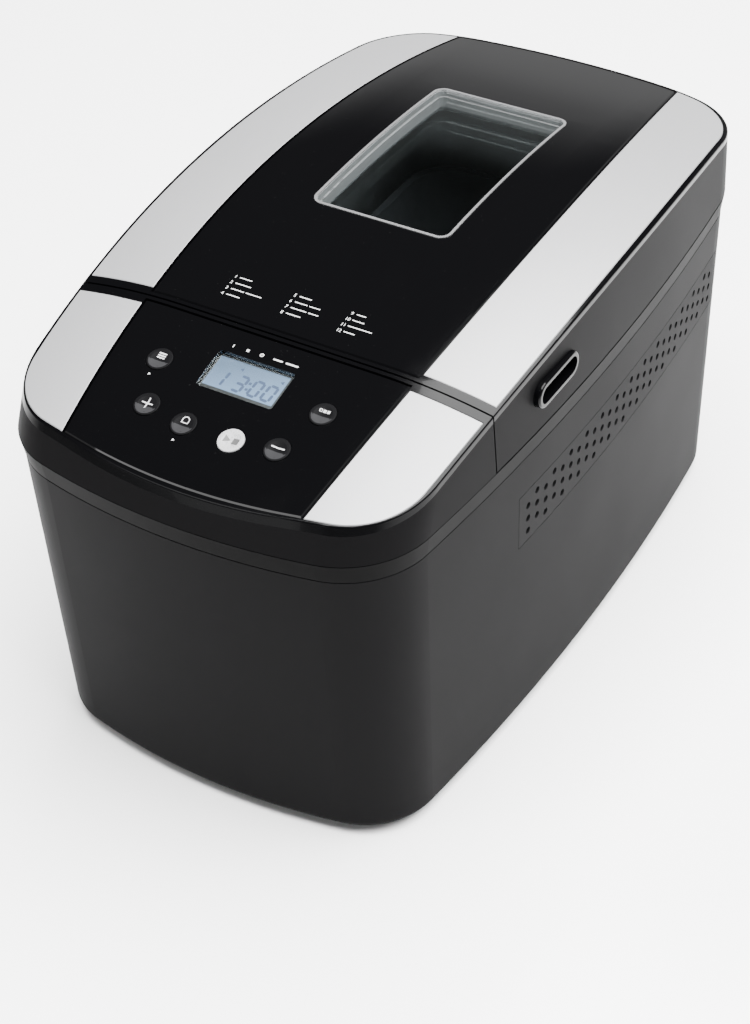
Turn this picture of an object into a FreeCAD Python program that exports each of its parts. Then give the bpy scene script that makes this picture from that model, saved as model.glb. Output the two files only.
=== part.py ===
"""Horizontal two-paddle bread machine, in millimetres.

+X is the right side seen from the control panel, -Y is the front, +Z is up.
The origin is the middle of the footprint, on the surface that the feet stand on.
"""
import FreeCAD, Part
import math
import os

from FreeCAD import Vector as V

# ---- overall sizes -------------------------------------------------------
LENGTH = 427.0            # front to rear, at the trim band, without the hinge
WIDTH = 256.0             # side to side, at the trim band
BODY_TOP = 183.0          # top edge of the lower housing
TRIM_HEIGHT = 11.5        # sloping band between housing and lid
CROWN_PEAK = 249.5        # highest line of the lid
CONTROL_LENGTH = 108.0    # front end that carries the controls

# ---- plan shape ----------------------------------------------------------
SIDE_BOW = 15.0
END_BOW = 22.0
CORNER_RADIUS = 49.0
LEAN_CORNER = 40.0        # corner radius at the height where the lean is given
TRIM_INSET = 1.8          # how far the housing lies inside the trim's top edge
BASE_INSET = 6.0          # the same at the bottom of the housing
REAR_DRAFT = 7.5          # how much more the rear wall comes in at the bottom
WALL = 3.0

# ---- crowned top ---------------------------------------------------------
CROWN_RADIUS = 788.0      # lengthwise arch
CROWN_PEAK_BACK = 147.0   # highest line, behind the split
CROWN_FLAT = 60.0         # half-width of the flat middle
CROWN_SIDE_RADIUS = 318.0
CROWN_LOFT = 65.0         # height over which the skirt's lean is given
FRONT_LEAN = 34.0
REAR_LEAN = 5.0
SIDE_LEAN = 0.4
RIM_FILLET = 1.4
SPLIT_GAP = 1.0           # between control end and lid
LID_GAP = 0.6             # between lid skirt and trim band

# ---- top skins -----------------------------------------------------------
FRAME_DEPTH = 3.4
SHELL_DEPTH = 2.5
PANEL_DEPTH = 2.2
STRIP_DEPTH = 1.6
RIM_WIDTH = 2.4
STRIP_WIDTH = 43.8        # from the widest point of the trim to the gloss panel
PANEL_SIDE_RADIUS = 1515.0
PANEL_SIDE_BACK = 112.0   # widest place of the gloss panel, behind the split
BAR_WIDTH = 5.0           # gloss bar each side of the split
PANEL_BAR = 2.0
SKIN_GAP = 0.2
SKIN_EDGE = 0.35          # bevel round the silver trims
PANEL_EASE = 1.2          # bevel round the gloss panels

# ---- window --------------------------------------------------------------
WINDOW_WIDTH = 80.6
WINDOW_FRONT = 98.0       # behind the split
WINDOW_LENGTH = 134.0
WINDOW_CORNER = 5.0
WINDOW_RIM = 1.6
GLASS_SETBACK = 0.8
GLASS = 3.0
WELL_WALL = 3.0
WELL_DEPTH = 13.0
WELL_LEDGE = 1.5

# ---- controls ------------------------------------------------------------
BUTTON_RADIUS = 7.0
BUTTON_GAP = 0.2
BUTTON_PROUD = 0.6
BUTTON_FLANGE = 1.2
BUTTONS = {
    "menu_button": (-48.5, 72.5),
    "colour_button": (48.5, 72.5),
    "plus_button": (-38.5, 46.0),
    "minus_button": (38.5, 46.0),
    "loaf_button": (-14.0, 42.5),
    "start_button": (14.0, 42.5),
}                         # x, distance behind the front end
LCD_WIDTH = 41.0
LCD_DEPTH = 19.5
LCD_BACK = 77.5           # middle of the display behind the front end
LCD_BORDER = 2.0
BOARD_DEPTH = 12.5
BOARD = 1.6
CONTROL_OPENING_FRONT = 28.0
CONTROL_OPENING_BACK = 13.0
CONTROL_OPENING_HALF = 62.0

# ---- chamber and pan -----------------------------------------------------
CHAMBER_SIDE = 46.0       # from the side of the machine to the chamber
CHAMBER_FRONT = 22.0      # behind the split
CHAMBER_REAR = 38.0       # from the rear wall
CHAMBER_FLOOR = 56.0
CHAMBER_CORNER = 30.0
LINER = 1.2
FLANGE = 7.0
DECK = 3.0
DECK_DROP = 3.0           # deck's top below the trim's top edge
PAN_GAP = 10.0
PAN_BOTTOM = 68.0
PAN_TOP = 166.0
PAN_TAPER = 5.0
PAN_WALL = 1.6
PAN_CORNER = 24.0
PAN_LIP = 3.0
BAIL_REACH = 38.0
BAIL_ROD = 2.4
BAIL_GAP = 0.08
EAR = 2.0
EAR_RISE = 7.0
SEAT_HALF_WIDTH = 30.0
SEAT_WALL = 3.0
SEAT_FLOOR = 2.5

# ---- heating -------------------------------------------------------------
ELEMENT_RADIUS = 3.2
ELEMENT_GAP = 3.0         # to the liner
ELEMENT_RISE = 8.0
TERMINAL_SPREAD = 12.0

# ---- drive ---------------------------------------------------------------
SHAFT_RADIUS = 4.0
RUNNING = 0.05
BUSH_RADIUS = 7.0
HUB_RADIUS = 10.0
HUB_LOW = 40.0
HUB_HIGH = 60.0
PULLEY_RADIUS = 45.0
PULLEY_LOW = 16.0
PULLEY_HIGH = 28.0
LINK_RADIUS = 14.0
LINK_LOW = 30.0
LINK_HIGH = 38.0
MOTOR_PULLEY_RADIUS = 8.0
MOTOR_RADIUS = 34.0
MOTOR_LOW = 47.0
MOTOR_HEIGHT = 78.0
MOTOR_X = -34.0
MOTOR_FROM_FRONT = 62.0
MOTOR_SHAFT_RADIUS = 3.0
BRACKET_FRONT = 19.0      # bracket's reach before and behind the motor's shaft
BRACKET_BACK = 10.0
BELT = 1.6
BELT_MARGIN = 2.0
DOG_RADIUS = 11.0
LUG_HALF = 2.2            # driving lugs on the dog, half their width
LUG_MIDDLE = SHAFT_RADIUS + 0.6 + LUG_HALF
WING_WIDTH = 4.0
WING_LENGTH = 17.0
PADDLE_HUB = 8.5
PADDLE_HEIGHT = 20.0
PADDLE_THICKNESS = 3.0
PADDLE_CLEARANCE = 9.0

# ---- lid hinge -----------------------------------------------------------
HINGE_OUT = 6.2           # pin's axis behind the rear wall
HINGE_RISE = 2.0          # and above the trim's top edge
KNUCKLE_RADIUS = 5.5
BARREL_HALF = 30.0        # fixed middle knuckle
KNUCKLE = 24.0            # each of the lid's knuckles
KNUCKLE_GAP = 0.6
LEAF_RISE = 20.0
LEAF_DROP = 16.0
PIN_RADIUS = 2.5
PIN_GAP = 0.08

# ---- grips and vents -----------------------------------------------------
GRIP_BACK = 56.0          # behind the split
GRIP_HEIGHT = 21.5        # above the trim's top edge
GRIP_LENGTH = 42.0
GRIP_TALL = 15.0
GRIP_LIP = 2.6
GRIP_PROUD = 1.6
GRIP_DEEP = 14.0
VENT_FRONT = 24.0         # behind the split
VENT_LENGTH = 246.0
VENT_TOP = 23.5           # below the housing's top edge
VENT_TALL = 33.5
VENT_THICK = 2.2
VENT_LIP = 3.0
VENT_GAP = 0.35
VENT_COLUMNS = 27
VENT_ROWS = 3
VENT_HOLE = 2.0
VENT_ROW_PITCH = 8.4

# ---- underside and fittings ----------------------------------------------
PLATE_UNDER = 2.6         # height of the base plate's underside
PLATE_TOP = 6.0           # and of its top, where the housing starts
PLATE_INSET = 16.0
FLOOR_OPENING = 34.0
FOOT_RADIUS = 10.0
FOOT_INSET = 34.0
BASE_FILLET = 4.0
SCREW_RADIUS = 1.9
INLET_X = 70.0
INLET_HEIGHT = 38.0
INLET_RADIUS = 7.0
INLET_PROUD = 6.0

# ---- what follows from the sizes above -----------------------------------
FRONT = -(LENGTH + HINGE_OUT + KNUCKLE_RADIUS) / 2
REAR = FRONT + LENGTH
SIDE = WIDTH / 2
TRIM_TOP = BODY_TOP + TRIM_HEIGHT
SPLIT = FRONT + CONTROL_LENGTH
CROWN_PEAK_Y = SPLIT + CROWN_PEAK_BACK
PANEL_SIDE_MIDDLE = SPLIT + PANEL_SIDE_BACK
CROWN_AXIS = CROWN_PEAK - CROWN_RADIUS
DECK_TOP = TRIM_TOP - DECK_DROP
CHAMBER_HALF = SIDE - CHAMBER_SIDE
CHAMBER_Y0 = SPLIT + CHAMBER_FRONT
CHAMBER_Y1 = REAR - CHAMBER_REAR
CHAMBER_Y = (CHAMBER_Y0 + CHAMBER_Y1) / 2
PAN_HALF = CHAMBER_HALF - PAN_GAP
PAN_LONG = (CHAMBER_Y1 - CHAMBER_Y0) / 2 - PAN_GAP
SHAFT_OFFSET = PAN_LONG / 2
SHAFTS = {"front": CHAMBER_Y - SHAFT_OFFSET, "rear": CHAMBER_Y + SHAFT_OFFSET}
MOTOR_Y = FRONT + MOTOR_FROM_FRONT
HINGE_Y = REAR + HINGE_OUT
HINGE_Z = TRIM_TOP + HINGE_RISE
BAIL_Z = PAN_TOP + EAR_RISE
PANEL_HALF = SIDE - STRIP_WIDTH
WINDOW_Y0 = SPLIT + WINDOW_FRONT
WINDOW_Y1 = WINDOW_Y0 + WINDOW_LENGTH
FAR = 1000.0


# ---- plan outlines -------------------------------------------------------
class Plan:
    """A rounded rectangle with bowed sides, made of eight tangent arcs."""

    def __init__(self, half, front, rear, side_bow, end_bow, corner):
        half_length = (rear - front) / 2
        self.middle = (front + rear) / 2
        self.half, self.front, self.rear = half, front, rear
        self.side_radius = (half_length ** 2 + side_bow ** 2) / (2 * side_bow)
        self.end_radius = (half ** 2 + end_bow ** 2) / (2 * end_bow)
        self.corner = corner

    def inset(self, distance):
        """The parallel outline that lies further in."""
        inner = Plan.__new__(Plan)
        inner.middle = self.middle
        inner.half = self.half - distance
        inner.front = self.front + distance
        inner.rear = self.rear - distance
        inner.side_radius = self.side_radius - distance
        inner.end_radius = self.end_radius - distance
        inner.corner = self.corner - distance
        return inner

    def corner_points(self, towards_rear):
        """Tangent points and middle of the right-hand corner at one end."""
        sign = 1 if towards_rear else -1
        end = self.rear if towards_rear else self.front
        side_centre = V(self.half - self.side_radius, self.middle, 0)
        end_centre = V(0, end - sign * self.end_radius, 0)
        a = self.side_radius - self.corner
        b = self.end_radius - self.corner
        between = end_centre - side_centre
        span = between.Length
        along = (a * a - b * b + span * span) / (2 * span)
        across = math.sqrt(a * a - along * along)
        unit = between * (1 / span)
        normal = V(-unit.y, unit.x, 0)
        centres = [side_centre + unit * along + normal * across * way for way in (1, -1)]
        centre = max(centres, key=lambda point: sign * point.y)
        on_side = centre + (centre - side_centre).normalize() * self.corner
        on_end = centre + (centre - end_centre).normalize() * self.corner
        outward = (on_side + on_end) * 0.5 - centre
        return on_side, centre + outward.normalize() * self.corner, on_end

    def wire(self, z):
        front_side, front_mid, front_end = self.corner_points(False)
        rear_side, rear_mid, rear_end = self.corner_points(True)

        def at(point, way=1):
            return V(way * point.x, point.y, z)

        arcs = [
            (at(front_side), V(self.half, self.middle, z), at(rear_side)),
            (at(rear_side), at(rear_mid), at(rear_end)),
            (at(rear_end), V(0, self.rear, z), at(rear_end, -1)),
            (at(rear_end, -1), at(rear_mid, -1), at(rear_side, -1)),
            (at(rear_side, -1), V(-self.half, self.middle, z), at(front_side, -1)),
            (at(front_side, -1), at(front_mid, -1), at(front_end, -1)),
            (at(front_end, -1), V(0, self.front, z), at(front_end)),
            (at(front_end), at(front_mid), at(front_side)),
        ]
        return Part.Wire([Part.Arc(*points).toShape() for points in arcs])

    def prism(self, low, high):
        return Part.Face(self.wire(low)).extrude(V(0, 0, high - low))


def loft(lower, z0, upper, z1):
    return Part.makeLoft([lower.wire(z0), upper.wire(z1)], True, True)


TRIM_PLAN = Plan(SIDE, FRONT, REAR, SIDE_BOW, END_BOW, CORNER_RADIUS)
LEAN_PLAN = Plan(SIDE - SIDE_LEAN, FRONT + FRONT_LEAN, REAR - REAR_LEAN,
                 SIDE_BOW, END_BOW, LEAN_CORNER)
BASE_PLAN = Plan(SIDE, FRONT, REAR - REAR_DRAFT, SIDE_BOW, END_BOW, CORNER_RADIUS)


def crown_height(y):
    """Height of the crowned top along its middle."""
    return CROWN_AXIS + math.sqrt(CROWN_RADIUS ** 2 - (y - CROWN_PEAK_Y) ** 2)


def rim_end(end, lean):
    """Where the leaning end wall meets the crowned top."""
    y = end
    for _ in range(12):
        rise = crown_height(y) - TRIM_TOP
        y = end + lean * rise / CROWN_LOFT
    return y


RIM_PLAN = Plan(SIDE - SIDE_LEAN * 0.6, rim_end(FRONT, FRONT_LEAN), rim_end(REAR, -REAR_LEAN),
                SIDE_BOW, END_BOW, (CORNER_RADIUS + LEAN_CORNER) / 2)


# ---- basic shapes --------------------------------------------------------
def box(x0, x1, y0, y1, z0, z1):
    return Part.makeBox(x1 - x0, y1 - y0, z1 - z0, V(x0, y0, z0))


def post(radius, x, y, z0, z1):
    return Part.makeCylinder(radius, z1 - z0, V(x, y, z0))


def rod(radius, start, direction, length):
    return Part.makeCylinder(radius, length, start, direction)


def rounded(half_x, y0, y1, corner, z0, z1):
    """A block with rounded upright edges."""
    block = box(-half_x, half_x, y0, y1, z0, z1)
    upright = [e for e in block.Edges if abs(e.Vertexes[0].Z - e.Vertexes[1].Z) > 1e-6]
    return block.makeFillet(corner, upright)


def stadium(half_width, half_length, y, z0, z1):
    """A flat-sided block with round ends, long in Y."""
    run = half_length - half_width
    ends = [post(half_width, 0, y + way * run, z0, z1) for way in (-1, 1)]
    return box(-half_width, half_width, y - run, y + run, z0, z1).fuse(ends).removeSplitter()


def fuse(first, *others):
    return first.fuse(list(others)).removeSplitter()


def cut(shape, *tools):
    return shape.cut(list(tools))


def mirrored(shape):
    return shape.mirror(V(0, 0, 0), V(1, 0, 0))


def behind(y):
    return box(-FAR, FAR, y, FAR, -FAR, FAR)


def ahead(y):
    return box(-FAR, FAR, -FAR, y, -FAR, FAR)


def soften(shape, radius, wanted):
    """Rounds the edges for which wanted(edge) holds."""
    return shape.makeFillet(radius, [edge for edge in shape.Edges if wanted(edge)])


def ease(shape, width, wanted):
    """Chamfers the edges for which wanted(edge) holds."""
    return shape.makeChamfer(width, [edge for edge in shape.Edges if wanted(edge)])


# ---- crowned top ---------------------------------------------------------
def under_top(depth):
    """Everything that lies more than depth below the crowned top."""
    reach = SIDE * 0.25 + SIDE
    turn = math.asin((reach - CROWN_FLAT) / CROWN_SIDE_RADIUS)
    radius = CROWN_SIDE_RADIUS - depth
    top = CROWN_PEAK - depth
    centre = CROWN_PEAK - CROWN_SIDE_RADIUS
    low = CROWN_PEAK - 150.0

    def on_side(way, angle):
        x = CROWN_FLAT + radius * math.sin(angle)
        return V(way * x, CROWN_PEAK_Y, centre + radius * math.cos(angle))

    right = [on_side(1, turn * share) for share in (0, 0.5, 1)]
    left = [on_side(-1, turn * share) for share in (1, 0.5, 0)]
    foot_right = V(right[2].x, CROWN_PEAK_Y, low)
    foot_left = V(left[0].x, CROWN_PEAK_Y, low)
    edges = [
        Part.makeLine(left[2], right[0]),
        Part.Arc(*right).toShape(),
        Part.makeLine(right[2], foot_right),
        Part.makeLine(foot_right, foot_left),
        Part.makeLine(foot_left, left[0]),
        Part.Arc(*left).toShape(),
    ]
    face = Part.Face(Part.Wire(edges))
    swing = math.degrees(math.asin(LENGTH * 0.68 / CROWN_RADIUS)) + 4.0
    pivot = V(0, CROWN_PEAK_Y, CROWN_AXIS)
    face.rotate(pivot, V(1, 0, 0), -swing)
    return face.revolve(pivot, V(1, 0, 0), 2 * swing)


def band(depth0, depth1):
    return under_top(depth0).cut(under_top(depth1))


def lean_block(inset, low=TRIM_TOP):
    """The leaning upper walls, as a block from the trim band upwards."""
    drop = (TRIM_TOP - low) / CROWN_LOFT
    lower = Plan(SIDE + SIDE_LEAN * drop, FRONT - FRONT_LEAN * drop, REAR + REAR_LEAN * drop,
                 SIDE_BOW, END_BOW, CORNER_RADIUS + (CORNER_RADIUS - LEAN_CORNER) * drop)
    return loft(lower.inset(inset), low, LEAN_PLAN.inset(inset), TRIM_TOP + CROWN_LOFT)


def crown():
    """The whole upper body, control end and lid together, with its rim rounded."""
    block = lean_block(0).common(under_top(0))

    def on_rim(edge):
        middle = edge.valueAt((edge.FirstParameter + edge.LastParameter) / 2)
        ends = [vertex.Z for vertex in edge.Vertexes]
        high = min(ends) > TRIM_TOP + 4.0
        outer = abs(middle.x) > CROWN_FLAT + 2 or not FRONT + 30 < middle.y < REAR - 30
        return high and outer

    return soften(block, RIM_FILLET, on_rim)


def panel_side(y):
    offset = y - PANEL_SIDE_MIDDLE
    return PANEL_HALF - (PANEL_SIDE_RADIUS - math.sqrt(PANEL_SIDE_RADIUS ** 2 - offset ** 2))


def panel_block(y0, y1, spread):
    """The gloss panel's plan, between its two bowed sides."""
    middle = (y0 + y1) / 2
    right = [V(panel_side(y) + spread, y, 0) for y in (y0, middle, y1)]
    left = [V(-point.x, point.y, 0) for point in reversed(right)]
    edges = [
        Part.Arc(*right).toShape(),
        Part.makeLine(right[2], left[0]),
        Part.Arc(*left).toShape(),
        Part.makeLine(left[2], right[0]),
    ]
    return Part.Face(Part.Wire(edges)).extrude(V(0, 0, 2 * CROWN_PEAK))


def panel_region(inset, control):
    """Plan of a gloss panel; control chooses the front end."""
    inside = RIM_PLAN.inset(RIM_WIDTH + inset).prism(0, 2 * CROWN_PEAK)
    if control:
        limits = (FRONT - 20.0, SPLIT - SPLIT_GAP / 2 - PANEL_BAR - inset)
    else:
        limits = (SPLIT + SPLIT_GAP / 2 + PANEL_BAR + inset, REAR + 20.0)
    return inside.common(panel_block(*limits, -inset))


def strip_region(inset, control):
    """Plan of the two silver trims beside a gloss panel."""
    inside = RIM_PLAN.inset(RIM_WIDTH + inset).prism(0, 2 * CROWN_PEAK)
    outside = panel_block(FRONT - 20.0, REAR + 20.0, SKIN_GAP * 2 + inset)
    if control:
        side = ahead(SPLIT - SPLIT_GAP / 2 - BAR_WIDTH - inset)
    else:
        side = behind(SPLIT + SPLIT_GAP / 2 + BAR_WIDTH + inset)
    return inside.cut(outside).common(side)


def window_block(grow, z0=0.0, z1=2 * CROWN_PEAK):
    return rounded(WINDOW_WIDTH / 2 + grow, WINDOW_Y0 - grow, WINDOW_Y1 + grow,
                   WINDOW_CORNER + grow, z0, z1)


def skin_edges(depth):
    """Picks the edges of a skin's upper face."""
    def wanted(edge):
        middle = edge.valueAt((edge.FirstParameter + edge.LastParameter) / 2)
        across = max(0.0, abs(middle.x) - CROWN_FLAT)
        fall = CROWN_SIDE_RADIUS - math.sqrt(CROWN_SIDE_RADIUS ** 2 - across ** 2)
        radius = math.hypot(middle.y - CROWN_PEAK_Y, middle.z - CROWN_AXIS)
        return CROWN_RADIUS - fall - radius < depth * 0.4 and outline_edge(edge, middle)
    return wanted


def outline_edge(edge, middle):
    """False for the seam lines where the flat middle meets the curved sides."""
    ends = [abs(abs(vertex.X) - CROWN_FLAT) for vertex in edge.Vertexes]
    return not (max(ends) < 0.01 and abs(abs(middle.x) - CROWN_FLAT) < 0.01)


# ---- control end ---------------------------------------------------------
def control_opening():
    half = CONTROL_OPENING_HALF
    return box(-half, half, FRONT + CONTROL_OPENING_FRONT, SPLIT - CONTROL_OPENING_BACK,
               BODY_TOP, 2 * CROWN_PEAK)


def control_collar(whole):
    outside = whole.common(under_top(FRAME_DEPTH)).common(ahead(SPLIT - SPLIT_GAP / 2))
    inner = lean_block(WALL, TRIM_TOP - 5.0).common(under_top(FRAME_DEPTH + SHELL_DEPTH))
    inner = inner.common(ahead(SPLIT - SPLIT_GAP / 2 - WALL))
    return cut(outside, inner, control_opening())


def collar_frame(whole):
    plate = whole.common(band(-1.0, FRAME_DEPTH)).common(ahead(SPLIT - SPLIT_GAP / 2))
    panel = panel_region(0, True).common(band(-2.0, PANEL_DEPTH))
    strips = strip_region(0, True).common(band(-2.0, STRIP_DEPTH))
    return cut(plate, panel, strips, control_opening())


def control_panel():
    plate = panel_region(SKIN_GAP, True).common(band(0, PANEL_DEPTH))
    plate = ease(plate, PANEL_EASE, skin_edges(PANEL_DEPTH))
    holes = [button_axis_rod(name, BUTTON_RADIUS + BUTTON_GAP, -4.0, PANEL_DEPTH + 4.0)
             for name in BUTTONS]
    return cut(plate, lcd_block(SKIN_GAP / 2), *holes)


def corner_trim():
    """The right-hand silver corner."""
    plate = strip_region(SKIN_GAP, True).common(band(0, STRIP_DEPTH))
    plate = ease(plate, SKIN_EDGE, skin_edges(STRIP_DEPTH))
    return plate.common(box(0, FAR, -FAR, FAR, 0, FAR))


def lcd_block(grow):
    half = LCD_WIDTH / 2 + LCD_BORDER + grow
    middle = FRONT + LCD_BACK
    deep = LCD_DEPTH / 2 + LCD_BORDER + grow
    return rounded(half, middle - deep, middle + deep, 1.5 + grow, 0, 2 * CROWN_PEAK)


def lcd_lens():
    return lcd_block(0).common(band(0.2, PANEL_DEPTH - 0.2))


def place_on_top(shape, x, y, depth=0.0):
    """Moves a shape built round the origin, +Z outwards, onto the crowned top."""
    tilt = math.asin((CROWN_PEAK_Y - y) / CROWN_RADIUS)
    moved = shape.copy()
    moved.rotate(V(0, 0, 0), V(1, 0, 0), math.degrees(tilt))
    radius = CROWN_RADIUS - depth
    moved.translate(V(x, CROWN_PEAK_Y - radius * math.sin(tilt), CROWN_AXIS + radius * math.cos(tilt)))
    return moved


def lcd_module():
    half = LCD_WIDTH / 2 + LCD_BORDER + 2.0
    deep = LCD_DEPTH / 2 + LCD_BORDER + 2.0
    face = PANEL_DEPTH + 0.3
    block = box(-half, half, -deep, deep, -BOARD_DEPTH, -face)
    return place_on_top(block, 0, FRONT + LCD_BACK)


def board_middle():
    return (FRONT + CONTROL_OPENING_FRONT + SPLIT - CONTROL_OPENING_BACK) / 2


def control_board():
    half = CONTROL_OPENING_HALF - 3.0
    deep = (CONTROL_LENGTH - CONTROL_OPENING_FRONT - CONTROL_OPENING_BACK) / 2 - 3.0
    top = -BOARD_DEPTH - 0.9
    return place_on_top(box(-half, half, -deep, deep, top - BOARD, top), 0, board_middle())


def button_axis_rod(name, radius, depth0, depth1):
    x, back = BUTTONS[name]
    return place_on_top(post(radius, 0, 0, -depth1, -depth0), x, FRONT + back)


def button(name):
    """A round cap with a shallow dish, a retaining flange and a stem."""
    cap = post(BUTTON_RADIUS, 0, 0, -5.5, BUTTON_PROUD)
    cap = soften(cap, 0.5, lambda edge: edge.BoundBox.ZMin > 0)
    dish = Part.makeSphere(24.0, V(0, 0, BUTTON_PROUD + 24.0 - 0.55))
    flange = post(BUTTON_RADIUS + BUTTON_FLANGE, 0, 0, -4.4, -3.0)
    stem = post(2.6, 0, 0, -9.5, -4.4)
    x, back = BUTTONS[name]
    return place_on_top(cut(fuse(cap, flange, stem), dish), x, FRONT + back)


# ---- lid -----------------------------------------------------------------
def lid_space():
    """Everything that the lid may fill: behind the split and above the trim band."""
    above = box(-FAR, FAR, -FAR, FAR, TRIM_TOP + LID_GAP, FAR)
    return behind(SPLIT + SPLIT_GAP / 2).common(above)


def grip_block(length, tall, x0, x1):
    """A stadium lying along the right side of the lid."""
    y = SPLIT + GRIP_BACK
    z = TRIM_TOP + GRIP_HEIGHT
    run = (length - tall) / 2
    ends = [rod(tall / 2, V(x0, y + way * run, z), V(1, 0, 0), x1 - x0) for way in (-1, 1)]
    return fuse(box(x0, x1, y - run, y + run, z - tall / 2, z + tall / 2), *ends)


def lid_shell(whole, space):
    outside = whole.common(under_top(FRAME_DEPTH)).common(space)
    inner = lean_block(WALL, TRIM_TOP - 5.0).common(under_top(FRAME_DEPTH + SHELL_DEPTH))
    inner = inner.common(behind(SPLIT + SPLIT_GAP / 2 + WALL))
    grip = grip_block(GRIP_LENGTH + 0.3, GRIP_TALL + 0.3, SIDE - GRIP_DEEP, SIDE + 20.0)
    return cut(outside, inner, window_block(WELL_WALL + 0.3), grip, mirrored(grip))


def lid_frame(whole, space):
    plate = whole.common(band(-1.0, FRAME_DEPTH)).common(space)
    panel = panel_region(0, False).common(band(-2.0, PANEL_DEPTH))
    strips = strip_region(0, False).common(band(-2.0, STRIP_DEPTH))
    return cut(plate, panel, strips, window_block(WELL_WALL + 0.3))


def lid_panel():
    plate = panel_region(SKIN_GAP, False).common(band(0, PANEL_DEPTH))
    plate = ease(plate, PANEL_EASE, skin_edges(PANEL_DEPTH))
    return cut(plate, window_block(WINDOW_RIM + 0.2))


def silver_strip():
    """The right-hand silver strip of the lid."""
    plate = strip_region(SKIN_GAP, False).common(band(0, STRIP_DEPTH))
    plate = ease(plate, SKIN_EDGE, skin_edges(STRIP_DEPTH))
    return plate.common(box(0, FAR, -FAR, FAR, 0, FAR))


def window_well():
    rim = window_block(WINDOW_RIM).common(band(-0.35, PANEL_DEPTH + 0.2))
    sleeve = window_block(WELL_WALL).common(band(PANEL_DEPTH + 0.2, WELL_DEPTH))
    opening = window_block(-WELL_LEDGE)
    upper_seat = window_block(0.1).common(band(-2.0, GLASS_SETBACK + GLASS))
    lower_seat = window_block(0.1).common(band(WELL_DEPTH - GLASS, WELL_DEPTH + 2.0))
    return cut(fuse(rim, sleeve), opening, upper_seat, lower_seat)


def window_glass():
    return window_block(0).common(band(GLASS_SETBACK, GLASS_SETBACK + GLASS))


def inner_glass():
    return window_block(0).common(band(WELL_DEPTH - GLASS, WELL_DEPTH))


def lid_liner():
    """Thin steel tray over the chamber, with its window hole."""
    low = TRIM_TOP + 2.0
    half = CHAMBER_HALF + FLANGE + 2.0
    front, rear = CHAMBER_Y0 - FLANGE - 2.0, CHAMBER_Y1 + 3.0

    def tray(inset, depth, z0):
        block = rounded(half - inset, front + inset, rear - inset, CHAMBER_CORNER - inset, z0, FAR)
        return block.common(under_top(depth))

    skin = tray(0, WELL_DEPTH - GLASS, low).cut(tray(LINER, WELL_DEPTH - GLASS + LINER, low - 1.0))
    return cut(skin, window_block(WELL_WALL + 0.3))


def lid_grip():
    """Right-hand finger grip: an oval lip round a scooped recess."""
    outer = SIDE + GRIP_PROUD
    lip = grip_block(GRIP_LENGTH, GRIP_TALL, SIDE - GRIP_DEEP + 0.5, outer)
    lip = soften(lip, 1.2, lambda edge: edge.BoundBox.XMin > outer - 0.01)
    scoop = grip_block(GRIP_LENGTH - 2 * GRIP_LIP, GRIP_TALL - 2 * GRIP_LIP,
                       SIDE - GRIP_DEEP + 3.0, outer + 5.0)
    return lip.cut(scoop)


def hinge_arm():
    """Right-hand knuckle on the lid, with a leaf up its rear skirt."""
    x0 = BARREL_HALF + KNUCKLE_GAP
    start = V(x0, HINGE_Y, HINGE_Z)
    knuckle = rod(KNUCKLE_RADIUS, start, V(1, 0, 0), KNUCKLE)
    leaf = box(x0, x0 + KNUCKLE, HINGE_Y - FAR, HINGE_Y + 1.0, HINGE_Z, HINGE_Z + LEAF_RISE)
    leaf = leaf.common(behind(REAR - 24.0)).cut(lean_block(0, TRIM_TOP - 5.0))
    leaf = leaf.common(lean_block(-4.0))
    bore = rod(PIN_RADIUS + PIN_GAP, start - V(1, 0, 0), V(1, 0, 0), KNUCKLE + 2)
    return fuse(knuckle, leaf).cut(bore)


# ---- housing -------------------------------------------------------------
def housing_plan(inset, z):
    """Outline of the drafted lower body at one height, further in by inset."""
    share = (BODY_TOP - z) / (BODY_TOP - PLATE_TOP)
    plan = Plan(SIDE, FRONT, REAR - REAR_DRAFT * share, SIDE_BOW, END_BOW, CORNER_RADIUS)
    return plan.inset(TRIM_INSET + (BASE_INSET - TRIM_INSET) * share + inset)


def housing_block(inset, low, high):
    return loft(housing_plan(inset, low), low, housing_plan(inset, high), high)


def eased_above(plan, z, width):
    """A spreading block that takes a 45 degree edge off an outline's top."""
    return loft(plan.inset(-z), -width, plan.inset(width), z)


def vent_block(grow, inset0, inset1):
    """A strip of the housing's side wall, both sides at once."""
    top = BODY_TOP - VENT_TOP
    y0 = SPLIT + VENT_FRONT
    low, high = top - VENT_TALL - grow, top + grow
    slab = box(-FAR, FAR, y0 - grow, y0 + VENT_LENGTH + grow, low, high)
    outer = housing_block(inset0, low - 5, high + 5)
    return slab.common(outer).cut(housing_block(inset1, low - 10, high + 10))


def housing():
    body = housing_block(0, PLATE_TOP, BODY_TOP)
    body = soften(body, BASE_FILLET, lambda edge: edge.BoundBox.ZMax < PLATE_TOP + 0.01)
    body = body.common(eased_above(housing_plan(0, BODY_TOP), BODY_TOP, 0.7))
    hollow = housing_block(WALL, PLATE_TOP + WALL, BODY_TOP + 5)
    opening = BASE_PLAN.inset(FLOOR_OPENING).prism(0, BODY_TOP)
    pocket = vent_block(VENT_GAP, -2.0, VENT_THICK + 0.1)
    window = vent_block(-VENT_LIP, -2.0, WALL + 8.0)
    inlet = rod(INLET_RADIUS - 1.0 + 0.1, V(INLET_X, 0, INLET_HEIGHT), V(0, 1, 0), REAR + 20)
    holes = [post(SCREW_RADIUS + 0.3, x, y, 0, PLATE_TOP + WALL + 1) for x, y in foot_places()]
    return cut(body, hollow, opening, pocket, window, inlet, *holes)


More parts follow.
